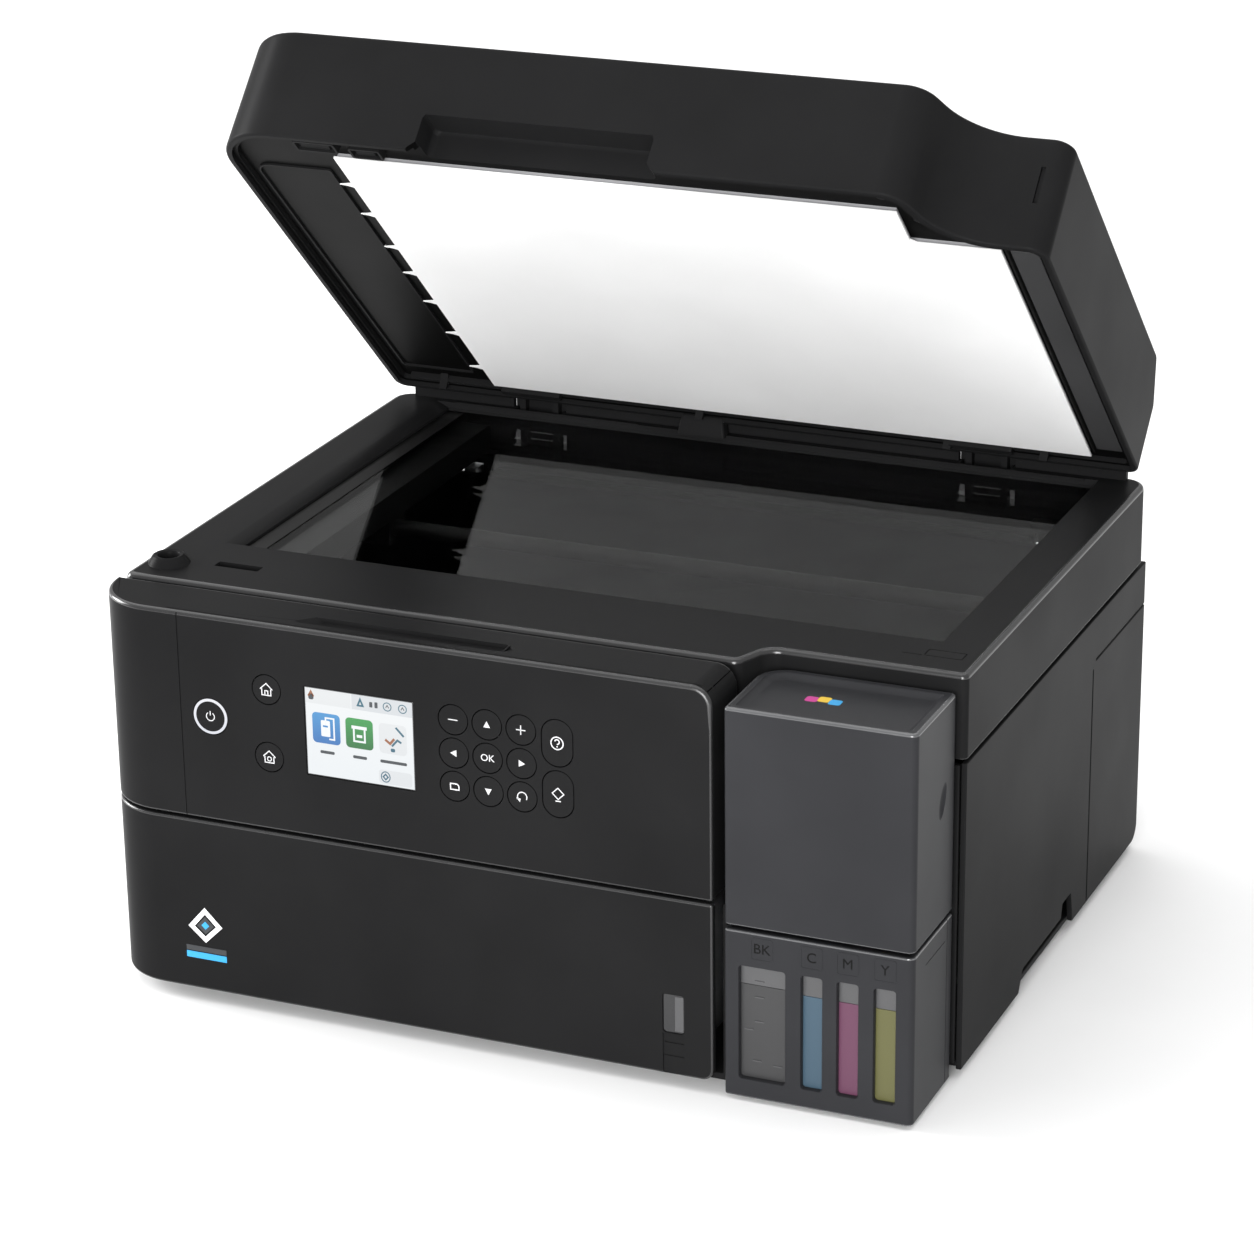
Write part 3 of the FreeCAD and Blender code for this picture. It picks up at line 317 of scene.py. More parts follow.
def piece(name, body, solid, materials, stands_for=(), crisp=38):
    """Finish a solid as a smooth-shaded piece that rides on a CAD body."""
    bmesh.ops.transform(solid, matrix=Matrix.Scale(MM, 4), verts=solid.verts)
    item = stand_in(name, solid)
    item.name = name
    item.data.name = name
    materials = materials if isinstance(materials, list) else [materials]
    for material in materials:
        item.data.materials.append(material)
    item.data.shade_smooth()
    item.data.set_sharp_from_angle(angle=math.radians(crisp))
    even = item.modifiers.new("even", "WEIGHTED_NORMAL")
    even.keep_sharp = True
    graph = bpy.context.evaluated_depsgraph_get()
    mesh = bpy.data.meshes.new_from_object(item.evaluated_get(graph))
    item.modifiers.clear()
    rough = item.data
    item.data = mesh
    bpy.data.meshes.remove(rough)
    mesh.name = name
    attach(item, body)
    if stands_for:
        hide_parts(*stands_for)
    return item


# ---------------------------------------------------------------- surfaces


def new_material(name):
    material = bpy.data.materials.new(name)
    material.use_nodes = True
    tree = material.node_tree
    shader = tree.nodes["Principled BSDF"]
    return material, tree, shader


def object_points(tree, scale=None):
    """Places on the piece itself, in metres, stretched if a scale is given."""
    source = tree.nodes.new("ShaderNodeTexCoord").outputs["Object"]
    if scale is None:
        return source
    mapping = tree.nodes.new("ShaderNodeMapping")
    mapping.inputs["Scale"].default_value = scale
    tree.links.new(source, mapping.inputs["Vector"])
    return mapping.outputs["Vector"]


def noise(tree, points, scale, detail=2.0, rough=0.5):
    node = tree.nodes.new("ShaderNodeTexNoise")
    node.inputs["Scale"].default_value = scale
    node.inputs["Detail"].default_value = detail
    node.inputs["Roughness"].default_value = rough
    tree.links.new(points, node.inputs["Vector"])
    return node.outputs["Fac"]


def spread(tree, value, low, high, start=0.3, end=0.7):
    """A noise value stretched to run from low to high."""
    node = tree.nodes.new("ShaderNodeMapRange")
    for socket, number in zip(("From Min", "From Max", "To Min", "To Max"), (start, end, low, high)):
        node.inputs[socket].default_value = number
    tree.links.new(value, node.inputs["Value"])
    return node.outputs["Result"]


def blend(tree, factor, first, second):
    """Two colours mixed by a factor."""
    node = tree.nodes.new("ShaderNodeMix")
    node.data_type = "RGBA"
    node.inputs["A"].default_value = (*first, 1)
    node.inputs["B"].default_value = (*second, 1)
    tree.links.new(factor, node.inputs["Factor"])
    return node.outputs["Result"]


def bumped(tree, shader, height, depth, strength=1.0):
    node = tree.nodes.new("ShaderNodeBump")
    node.inputs["Strength"].default_value = strength
    node.inputs["Distance"].default_value = depth * MM
    tree.links.new(height, node.inputs["Height"])
    tree.links.new(node.outputs["Normal"], shader.inputs["Normal"])


def shade(colour, factor):
    return tuple(min(1.0, channel * factor) for channel in colour)


def moulded(name, colour, roughness, grain=0.45, depth=0.02, gloss=0.5, coat=0.0, vary=0.12):
    """Moulded plastic: fine spark-eroded grain, with faint clouds of tone and polish."""
    material, tree, shader = new_material(name)
    points = object_points(tree)
    clouds = noise(tree, points, 14, 3.0)
    fine = noise(tree, points, 1 / (grain * MM), 2.0, 0.6)
    tone = blend(tree, spread(tree, clouds, 0, 1), shade(colour, 1 - vary), shade(colour, 1 + vary))
    tree.links.new(tone, shader.inputs["Base Color"])
    polish = spread(tree, clouds, roughness - 0.04, roughness + 0.05)
    tree.links.new(polish, shader.inputs["Roughness"])
    shader.inputs["Specular IOR Level"].default_value = gloss
    shader.inputs["Coat Weight"].default_value = coat
    shader.inputs["Coat Roughness"].default_value = 0.12
    bumped(tree, shader, fine, depth, 0.5)
    return material


def sheet_metal(name, colour, roughness):
    """Zinc-plated sheet with faint rolling lines."""
    material, tree, shader = new_material(name)
    lines = noise(tree, object_points(tree, (40, 900, 900)), 1.0, 3.0)
    clouds = noise(tree, object_points(tree), 60, 2.0)
    tone = blend(tree, spread(tree, clouds, 0, 1), shade(colour, 0.85), shade(colour, 1.1))
    tree.links.new(tone, shader.inputs["Base Color"])
    shader.inputs["Metallic"].default_value = 1.0
    polish = spread(tree, lines, roughness - 0.08, roughness + 0.1)
    tree.links.new(polish, shader.inputs["Roughness"])
    bumped(tree, shader, lines, 0.01, 0.4)
    return material


def clear_plastic(name, colour, roughness=0.08, through=1.0, bend=1.49):
    """Clear moulding with a little unevenness."""
    material, tree, shader = new_material(name)
    waves = noise(tree, object_points(tree), 40, 2.0)
    tone = blend(tree, spread(tree, waves, 0, 1), shade(colour, 0.94), colour)
    tree.links.new(tone, shader.inputs["Base Color"])
    shader.inputs["Transmission Weight"].default_value = through
    shader.inputs["IOR"].default_value = bend
    polish = spread(tree, waves, roughness * 0.7, roughness * 1.4)
    tree.links.new(polish, shader.inputs["Roughness"])
    bumped(tree, shader, waves, 0.02, 0.3)
    return material


def lit(name, low_colour, high_colour, glow, along="Z", span=(0.11, 0.16)):
    """A backlit surface whose tone runs along one axis."""
    material, tree, shader = new_material(name)
    split = tree.nodes.new("ShaderNodeSeparateXYZ")
    tree.links.new(object_points(tree), split.inputs["Vector"])
    run = spread(tree, split.outputs[along], 0, 1, span[0], span[1])
    cells = noise(tree, object_points(tree), 9000, 0.0)
    tone = blend(tree, run, low_colour, high_colour)
    shader.inputs["Base Color"].default_value = (0.01, 0.01, 0.01, 1)
    tree.links.new(tone, shader.inputs["Emission Color"])
    shader.inputs["Emission Strength"].default_value = glow
    tree.links.new(spread(tree, cells, 0.28, 0.36), shader.inputs["Roughness"])
    return material


black_casing = moulded("black_casing", (0.0108, 0.0108, 0.0111), 0.36, grain=0.5, depth=0.012, gloss=0.02)
# A lighter, glossier copy of the casing that the rounded edges take: a painted highlight.
casing_edge_painted_highlight = moulded("casing_edge_painted_highlight", (0.015, 0.015, 0.0155), 0.24, grain=0.5, depth=0.006, gloss=0.6)
smoke_casing = moulded("smoke_casing", (0.0212, 0.0215, 0.0235), 0.32, grain=0.7, depth=0.02, gloss=0.07)
# A lighter, glossier copy of the smoke casing that the rounded edges take: a painted highlight.
smoke_edge_painted_highlight = moulded("smoke_edge_painted_highlight", (0.06, 0.061, 0.064), 0.2, grain=0.7, depth=0.008, gloss=0.8)
inner_black = moulded("inner_black", (0.004, 0.004, 0.004), 0.5, grain=0.8, gloss=0.14)
# A darker copy of the casing for faces under the lid: painted shade.
underside_painted_shade = moulded("underside_painted_shade", (0.0022, 0.0022, 0.0022), 0.45, grain=0.8, depth=0.01, gloss=0.05)
inner_grey = moulded("inner_grey", (0.05, 0.05, 0.052), 0.45, grain=0.8)
key_black = moulded("key_black", (0.0105, 0.0105, 0.0108), 0.34, grain=0.4, depth=0.012, gloss=0.03)
printed_grey = moulded("printed_grey", (0.5, 0.5, 0.51), 0.5, grain=0.3, depth=0.005, vary=0.05)
sticker_white = moulded("sticker_white", (0.75, 0.76, 0.77), 0.4, grain=0.3, depth=0.004, vary=0.03)
sticker_grey = moulded("sticker_grey", (0.02, 0.022, 0.025), 0.4, grain=0.3, depth=0.004, vary=0.03)
sticker_blue = moulded("sticker_blue", (0.02, 0.27, 0.55), 0.4, grain=0.3, depth=0.004, vary=0.05)
sticker_magenta = moulded("sticker_magenta", (0.42, 0.02, 0.2), 0.4, grain=0.3, depth=0.004, vary=0.05)
sticker_yellow = moulded("sticker_yellow", (0.6, 0.4, 0.02), 0.4, grain=0.3, depth=0.004, vary=0.05)
letter_black = moulded("letter_black", (0.003, 0.003, 0.003), 0.5, grain=0.4, gloss=0.1)
zinc_plate = sheet_metal("zinc_plate", (0.52, 0.53, 0.54), 0.36)
bright_steel = sheet_metal("bright_steel", (0.62, 0.62, 0.63), 0.22)
foot_rubber = moulded("foot_rubber", (0.02, 0.02, 0.02), 0.75, grain=0.9, depth=0.05, gloss=0.3)
roller_rubber = moulded("roller_rubber", (0.10, 0.10, 0.105), 0.7, grain=0.6, depth=0.05, gloss=0.3)
gear_plastic = moulded("gear_plastic", (0.62, 0.60, 0.55), 0.4, grain=0.6, vary=0.05)
board_green = moulded("board_green", (0.02, 0.11, 0.05), 0.3, grain=1.6, depth=0.03, coat=0.4)
scan_glass = clear_plastic("scan_glass", (0.86, 0.87, 0.865), 0.015, 1.0, 1.1)
window_smoke = moulded("window_smoke", (0.012, 0.012, 0.013), 0.12, grain=2.0, depth=0.004, coat=0.3)
mat_white = moulded("mat_white", (0.74, 0.74, 0.74), 0.55, grain=0.9, depth=0.012, vary=0.03)
foam_grey = moulded("foam_grey", (0.30, 0.30, 0.31), 0.9, grain=0.5, depth=0.15, gloss=0.2)
strip_grey = moulded("strip_grey", (0.035, 0.035, 0.036), 0.4, grain=0.5)
screen_dark = moulded("screen_dark", (0.006, 0.006, 0.007), 0.08, grain=3.0, depth=0.002, coat=0.6)
CAP_COLOURS = {
    "black": (0.03, 0.03, 0.032),
    "cyan": (0.01, 0.22, 0.5),
    "magenta": (0.45, 0.02, 0.18),
    "yellow": (0.6, 0.42, 0.02),
}
cap_paint = {ink: moulded("cap_" + ink, tone, 0.4, grain=0.6) for ink, tone in CAP_COLOURS.items()}
INK_COLOURS = {
    "black": (0.036, 0.036, 0.037),
    "cyan": (0.04, 0.07, 0.098),
    "magenta": (0.096, 0.036, 0.066),
    "yellow": (0.088, 0.086, 0.034),
}
ink_paint = {
    ink: moulded("ink_" + ink, tone, 0.3, 0.6, 0.003, 0.3, vary=0.03) for ink, tone in INK_COLOURS.items()
}
empty_tank = moulded("empty_tank", (0.058, 0.058, 0.06), 0.3, grain=0.6, depth=0.004, vary=0.05)
ring_light = lit("ring_light", (0.78, 0.8, 0.88), (0.9, 0.91, 0.96), 0.92, "Z", (0.127, 0.143))
page_light = lit("page_light", (0.86, 0.9, 0.93), (0.93, 0.95, 0.96), 0.9)
header_light = lit("header_light", (0.72, 0.76, 0.8), (0.8, 0.83, 0.86), 0.85)
card_light = lit("card_light", (0.78, 0.81, 0.84), (0.88, 0.9, 0.91), 0.88)
copy_blue = lit("copy_blue", (0.02, 0.2, 0.62), (0.07, 0.42, 0.88), 0.75, "Z", (0.131, 0.147))
scan_green = lit("scan_green", (0.0, 0.2, 0.03), (0.04, 0.5, 0.09), 0.72, "Z", (0.131, 0.147))
ink_text = lit("ink_text", (0.1, 0.13, 0.16), (0.14, 0.17, 0.2), 0.3)
accent_orange = lit("accent_orange", (0.62, 0.17, 0.05), (0.7, 0.25, 0.08), 0.5)
accent_teal = lit("accent_teal", (0.03, 0.2, 0.34), (0.05, 0.28, 0.4), 0.5)
icon_white = lit("icon_white", (0.88, 0.93, 0.98), (0.97, 0.98, 1.0), 0.95)


# ---------------------------------------------------------------- rows of small repeated pieces


def row_tree():
    """A Geometry Nodes tree that sets copies of a part along a straight run."""
    tree = bpy.data.node_groups.new("even_row", "GeometryNodeTree")
    sockets = {}
    for label, kind in (
        ("Part", "NodeSocketObject"),
        ("Count", "NodeSocketInt"),
        ("Start", "NodeSocketVector"),
        ("Step", "NodeSocketVector"),
        ("Finish", "NodeSocketMaterial"),
    ):
        sockets[label] = tree.interface.new_socket(label, in_out="INPUT", socket_type=kind).identifier
    tree.interface.new_socket("Geometry", in_out="OUTPUT", socket_type="NodeSocketGeometry")
    given = tree.nodes.new("NodeGroupInput")
    line = tree.nodes.new("GeometryNodeMeshLine")
    line.mode = "OFFSET"
    part = tree.nodes.new("GeometryNodeObjectInfo")
    part.inputs["As Instance"].default_value = True
    copies = tree.nodes.new("GeometryNodeInstanceOnPoints")
    real = tree.nodes.new("GeometryNodeRealizeInstances")
    paint = tree.nodes.new("GeometryNodeSetMaterial")
    out = tree.nodes.new("NodeGroupOutput")
    for source, target in (
        (given.outputs["Part"], part.inputs["Object"]),
        (given.outputs["Count"], line.inputs["Count"]),
        (given.outputs["Start"], line.inputs["Start Location"]),
        (given.outputs["Step"], line.inputs["Offset"]),
        (line.outputs["Mesh"], copies.inputs["Points"]),
        (part.outputs["Geometry"], copies.inputs["Instance"]),
        (copies.outputs["Instances"], real.inputs["Geometry"]),
        (real.outputs["Geometry"], paint.inputs["Geometry"]),
        (given.outputs["Finish"], paint.inputs["Material"]),
        (paint.outputs["Geometry"], out.inputs["Geometry"]),
    ):
        tree.links.new(source, target)
    return tree, sockets


ROW, ROW_SOCKETS = row_tree()


def row(part, count, start, step, material):
    """A row of equal parts as one solid in millimetres."""
    pattern = stand_in("pattern", part)
    empty = bmesh.new()
    host = stand_in("row", empty)
    modifier = host.modifiers.new("row", "NODES")
    modifier.node_group = ROW
    values = {"Part": pattern, "Count": count, "Start": start, "Step": step, "Finish": material}
    for label, value in values.items():
        modifier[ROW_SOCKETS[label]] = value
    mesh = evaluated(host)
    bpy.data.objects.remove(pattern)
    return as_solid(mesh)


# ---------------------------------------------------------------- places taken from the frame

panel_low, panel_high = corners("control_panel")
drawer_low, drawer_high = corners("cassette_front")
tank_low, tank_high = corners("tank_housing")
cover_low, cover_high = corners("ink_tank_cover")
scan_high = corners("scanner_top")[1]
screen_low, screen_high = corners("screen")
glass_low, glass_high = corners("platen_glass")

LEFT = panel_low.x
FACE = panel_low.y
FASCIA_RIGHT = panel_high.x
CORNER = 28.0
WALL = 2.5
INKS = {"black": (109.0, 129.0), "cyan": (136.0, 145.0), "magenta": (151.5, 160.5), "yellow": (167.3, 176.5)}
INK_LETTERS = {"black": "BK", "cyan": "C", "magenta": "M", "yellow": "Y"}
WINDOW = (10.6, 61.6)
CAP_PIVOT = (-120.0, 79.5)
NECK_Y = -132.0
NECK_HOLE = 5.7
CAP_RADIUS, CAP_RIBS = 7.2, 16
COVER_PIVOT = (-149.0, 84.0)
LID_PIVOT = (151.0, 188.0)
LID_BOTTOM, LID_TOP = 182.5, 234.5
LID_HALF, LID_FRONT, LID_STEP, LID_REAR = 185.5, -97.0, -62.0, 148.0
LID_ANGLE = math.radians(43.5)
LID_HINGES = (-112.0, 112.0)
FEEDER_PIVOT = (-176.5, 231.6)
RING_AT = (-175, -102)


def wrap_line(inset, back):
    """The fascia in plan: it turns the front left corner of the printer."""
    points = rectangle(LEFT + inset, FASCIA_RIGHT - inset, FACE + inset, back)
    return rounded(points, [CORNER - inset, 0, 0, 0], 20)


# ---------------------------------------------------------------- control panel

THROUGH_FASCIA = (-160, -148)
KEY_GAP, SCREEN_GAP = 0.42, 0.25
KEY_NAMES = [name for name in frame["nodes"] if name.endswith("_button")]


def key_outline(node, grow=0.0):
    """A key seen from the front: a circle, or a pill if it is taller than wide."""
    low, high = corners(node)
    x, z = (low.x + high.x) / 2, (low.z + high.z) / 2
    half_x, half_z = (high.x - low.x) / 2 + grow, (high.z - low.z) / 2 + grow
    if half_z - half_x < 1:
        return oval((x, z), (half_x, half_x), 48)
    return rounded(rectangle(x - half_x, x + half_x, z - half_z, z + half_z), half_x * 0.98, 12)


def corner_cutter(level, reach, side, back, steps):
    """What rounds the fascia's right-hand corner at a level; side is 1 at a top and -1 at a bottom."""
    inner, past = level - side * reach, level + side * 2
    right = FASCIA_RIGHT
    arc = rounded([(right - reach, level), (right, level), (right, inner)], [0, reach, 0], steps)
    nib = [(right + 2, inner), (right + 2, past), (right - reach, past)]
    return prism(arc + nib, (FACE - 5, back + 5), "xz")


def panel_shell():
    """The fascia shell with its finger recess, its key and screen openings and its two pivots."""
    back = panel_high.y
    top, bottom = panel_high.z, panel_low.z
    outer = prism(wrap_line(0, back), (bottom, top))
    body = carved(outer, [corner_cutter(top, 9.0, 1, back, 10)])
    edge = [((-FAR, -FAR, top - 10), (FAR, FACE + CORNER + 3, top + 1), 1.7)]
    body = softened(body, 0.9, edge, steps=4, painted_highlight=1)
    room = prism(wrap_line(WALL, back + 20), (bottom + WALL, top - WALL))
    mouth = box((LEFT + 8, FASCIA_RIGHT - 4), (FACE + 9, FACE + 60), (bottom - 1, bottom + 5))
    recess = loft(
        [
            (rounded([(-95, -147), (3, -147), (3, -138.5), (-86, -138.5)], 1.2, 4), top + 0.5),
            (rounded([(-88, -146.2), (2.6, -146.2), (2.6, -139.2), (-82, -139.2)], 1.0, 4), top - 1.9),
        ]
    )
    dart_top = [(3.6, -147), (8.2, -142.8), (3.6, -138.6)]
    dart_low = [(3.6, -145), (6, -142.8), (3.6, -140.6)]
    dart = loft([(dart_top, top + 0.4), (dart_low, top - 0.9)])
    seam = box((-143.85, -143.35), (FACE - 1, FACE + 0.45), (bottom - 3, top + 3))
    holes = [room, mouth, recess, dart, seam]
    holes += [prism(key_outline(name, KEY_GAP), THROUGH_FASCIA, "xz") for name in KEY_NAMES]
    gap = SCREEN_GAP
    pane = rectangle(screen_low.x - gap, screen_high.x + gap, screen_low.z - gap, screen_high.z + gap)
    holes.append(prism(rounded(pane, 0.8, 4), THROUGH_FASCIA, "xz"))
    shell = carved(body, holes)
    extras = []
    for rib, tip in ((-165.0, -170.4), (81.5, 89.4)):
        extras.append(box((rib, rib + 2.5), (FACE + 2, -128), (162, top - 2)))
        span = sorted((rib + 1, tip))
        extras.append(rod("x", (-135, 173), 2.5, span))
    extras.append(ribbon([(-150, -150.4), (92.5, -150.4)], 0.5, (top - 0.3, top + 0.12), "xy"))
    # Rounded edges take the second material, a lighter and glossier copy of the casing: a painted highlight.
    finishes = [black_casing, casing_edge_painted_highlight]
    piece("panel_fascia", "panel", together([shell] + extras), finishes, ["control_panel"])


def arc_line(centre, radius, start, end, steps=16):
    """Points on an arc, in degrees."""
    turns = [math.radians(start + (end - start) * k / steps) for k in range(steps + 1)]
    return [(centre[0] + radius * math.cos(t), centre[1] + radius * math.sin(t)) for t in turns]


def key_mark(name, x, z):
    """The mark printed on a key, as flat shapes about its centre."""
    face = (FACE - 0.06, FACE + 0.1)
    width = 0.42

    def stroke(points, closed=False, thick=width):
        return ribbon([(x + u, z + v) for u, v in points], thick, face, "xz", closed)

    def solid_shape(points):
        return prism([(x + u, z + v) for u, v in points], face, "xz")

    house = [(-2.9, 0.1), (0, 2.8), (2.9, 0.1)]
    walls = [(-2.1, 0.3), (-2.1, -2.5), (2.1, -2.5), (2.1, 0.3)]
    door = [(-0.7, -2.4), (-0.7, -0.5), (0.7, -0.5), (0.7, -2.4)]
    marks = {
        "minus_button": lambda: [stroke([(-2.1, 0), (2.1, 0)])],
        "plus_button": lambda: [stroke([(-2.1, 0), (2.1, 0)]), stroke([(0, -2.1), (0, 2.1)])],
        "up_button": lambda: [solid_shape([(-1.5, -1.2), (1.5, -1.2), (0, 1.6)])],
        "down_button": lambda: [solid_shape([(-1.5, 1.2), (1.5, 1.2), (0, -1.6)])],
        "left_button": lambda: [solid_shape([(1.2, -1.5), (1.2, 1.5), (-1.6, 0)])],
        "right_button": lambda: [solid_shape([(-1.2, -1.5), (-1.2, 1.5), (1.6, 0)])],
        "ok_button": lambda: [lettering("OK", 3.2, (x, z), FACE + 0.02, 0.08)],
        "home_button": lambda: [stroke(house), stroke(walls), stroke(door, thick=0.4)],
        "cloud_button": lambda: [
            stroke(house),
            stroke(walls),
            stroke(oval((0, -0.8), (0.95, 0.95), 20), True, 0.4),
        ],
        "paper_button": lambda: [
            stroke([(-1.9, -1.5), (-1.9, 1.1), (1.1, 1.1), (1.9, 0.3), (1.9, -1.5)], True, 0.5)
        ],
        "stop_button": lambda: [
            stroke(arc_line((0, 0), 2.1, -30, 210)),
            solid_shape([(-1.1, -2.4), (-2.7, -0.6), (-0.7, -0.9)]),
        ],
        "help_button": lambda: [
            stroke(oval((0, 0), (2.7, 2.7), 32), True, 0.5),
            stroke(arc_line((0, 0.6), 1.0, 170, -70, 10) + [(0, -0.6)], thick=0.5),
            solid_shape(oval((0, -1.5), (0.33, 0.33), 10)),
        ],
        "start_button": lambda: [
            stroke([(0, 2.7), (2.6, 0.2), (0, -2.3), (-2.6, 0.2)], True),
            stroke([(-1.2, -3.1), (1.2, -3.1)], thick=0.45),
        ],
        "power_button": lambda: [
            stroke(arc_line((0, 0), 1.9, 125, 415, 24), thick=0.4),
            stroke([(0, 0.5), (0, 2.4)], thick=0.4),
        ],
    }
    return marks[name]()


def keys():
    """Fourteen keys, each on its own body with its mark."""
    for name in KEY_NAMES:
        low, high = corners(name)
        x, z = (low.x + high.x) / 2, (low.z + high.z) / 2
        cap = softened(prism(key_outline(name), (low.y, high.y), "xz"), 0.3, steps=2)
        marks = [painted(mark, 1) for mark in key_mark(name, x, z)]
        materials = [key_black, printed_grey]
        if name == "power_button":
            ring = ribbon(oval((x, z), (7.35, 7.35), 64), 1.15, (low.y - 0.15, low.y + 1), "xz", True)
            marks.append(painted(softened(ring, 0.12), 2))
            materials.append(ring_light)
        piece(name + "_cap", name + "_body", together([cap] + marks), materials, [name])


def screen_picture():
    """The colour screen: a lit page of plain tiles, with no words."""
    left, right = screen_low.x, screen_high.x
    low, high = screen_low.z, screen_high.z
    back = screen_high.y
    pane = softened(box((left, right), (screen_low.y, back), (low, high)), 0.3)
    parts = [painted(pane, 0)]

    def tile(x, z, layer, index, radius=0.0, steps=5):
        """A thin plate at a layer above the glass."""
        face = screen_low.y - 0.05 * layer
        line = rectangle(left + x[0], left + x[1], low + z[0], low + z[1])
        line = rounded(line, radius, steps) if radius else line
        parts.append(painted(prism(line, (face - 0.04, face + 0.06), "xz"), index))

    def line_on(points, width, layer, index, closed=False):
        face = screen_low.y - 0.05 * layer
        shifted = [(left + u, low + v) for u, v in points]
        parts.append(painted(ribbon(shifted, width, (face - 0.04, face + 0.06), "xz", closed), index))

    width, height = right - left, high - low
    page, header, card, blue, green, dark, orange, teal, white = range(1, 10)
    tile((0.5, width - 0.5), (0.5, height - 0.5), 0, page)
    tile((0.5, 21.5), (height - 7.2, height - 0.5), 1, card)
    tile((22.0, width - 0.5), (height - 7.2, height - 0.5), 1, header)
    tile((33.5, width - 1.5), (1.2, 7.4), 1, card, 1.4)
    tile((3.4, 16.2), (15.2, 28.8), 2, blue, 1.8)
    tile((18.8, 31.4), (15.2, 28.6), 2, green, 1.8)
    tile((34.2, 46.8), (15.0, 28.4), 2, card, 1.8)
    for start, end in ((6.6, 13.2), (21.8, 28.2), (34.4, 46.6)):
        tile((start, end), (10.6, 11.9), 2, dark, 0.5)
    tile((7.4, 11.6), (18.4, 25.6), 3, white, 0.5)
    line_on([(9.6, 20), (9.6, 26.8), (13.4, 26.8), (13.4, 17.4), (11, 17.4)], 0.7, 3, white)
    tile((8.3, 10.6), (22.6, 23.4), 4, blue)
    line_on([(21.6, 24.6), (28.6, 24.6)], 1.4, 3, white)
    line_on([(22.6, 24.2), (22.6, 18.4), (27.6, 18.4), (27.6, 24.2)], 0.8, 3, white)
    tile((23.9, 26.4), (20.2, 21.4), 4, white)
    line_on([(37.0, 21.2), (39.2, 19.6), (41.2, 22.0)], 1.1, 3, orange)
    line_on([(40.0, 18.6), (42.6, 21.6), (44.4, 20.6)], 0.9, 3, teal)
    line_on([(42.0, 27.2), (45.6, 23.6)], 0.9, 3, teal)
    tile((39.4, 41.4), (16.0, 17.6), 3, teal, 0.6)
    line_on([(36.6 + u, 4.3 + v) for u, v in oval((0, 0), (2.0, 2.3), 20)], 0.45, 2, teal, True)
    line_on([(36.6, 5.5), (37.7, 4.3), (36.6, 3.1), (35.5, 4.3)], 0.6, 3, teal, True)
    tile((2.0, 4.4), (height - 5.6, height - 3.0), 2, dark, 0.8)
    line_on([(2.0, height - 4.2), (3.2, height - 2.0), (4.4, height - 4.2)], 0.8, 2, orange)
    line_on([(24.8, height - 5.2), (26.0, height - 2.4), (27.2, height - 5.2)], 0.8, 2, teal, True)
    tile((30.2, 31.6), (height - 5.2, height - 2.8), 2, dark, 0.3)
    tile((32.6, 34.0), (height - 5.2, height - 2.6), 2, dark, 0.3)
    for middle in (38.4, 45.4):
        line_on([(middle + u, height - 3.9 + v) for u, v in oval((0, 0), (1.8, 1.8), 20)], 0.4, 2, teal, True)
        hand = [(middle - 0.7, height - 4.4), (middle, height - 3.2), (middle + 0.7, height - 4.4)]
        line_on(hand, 0.35, 2, dark)
    materials = [
        screen_dark,
        page_light,
        header_light,
        card_light,
        copy_blue,
        scan_green,
        ink_text,
        accent_orange,
        accent_teal,
        icon_white,
    ]
    piece("screen_pane", "panel", together(parts), materials, ["screen"])


# ---------------------------------------------------------------- paper cassette


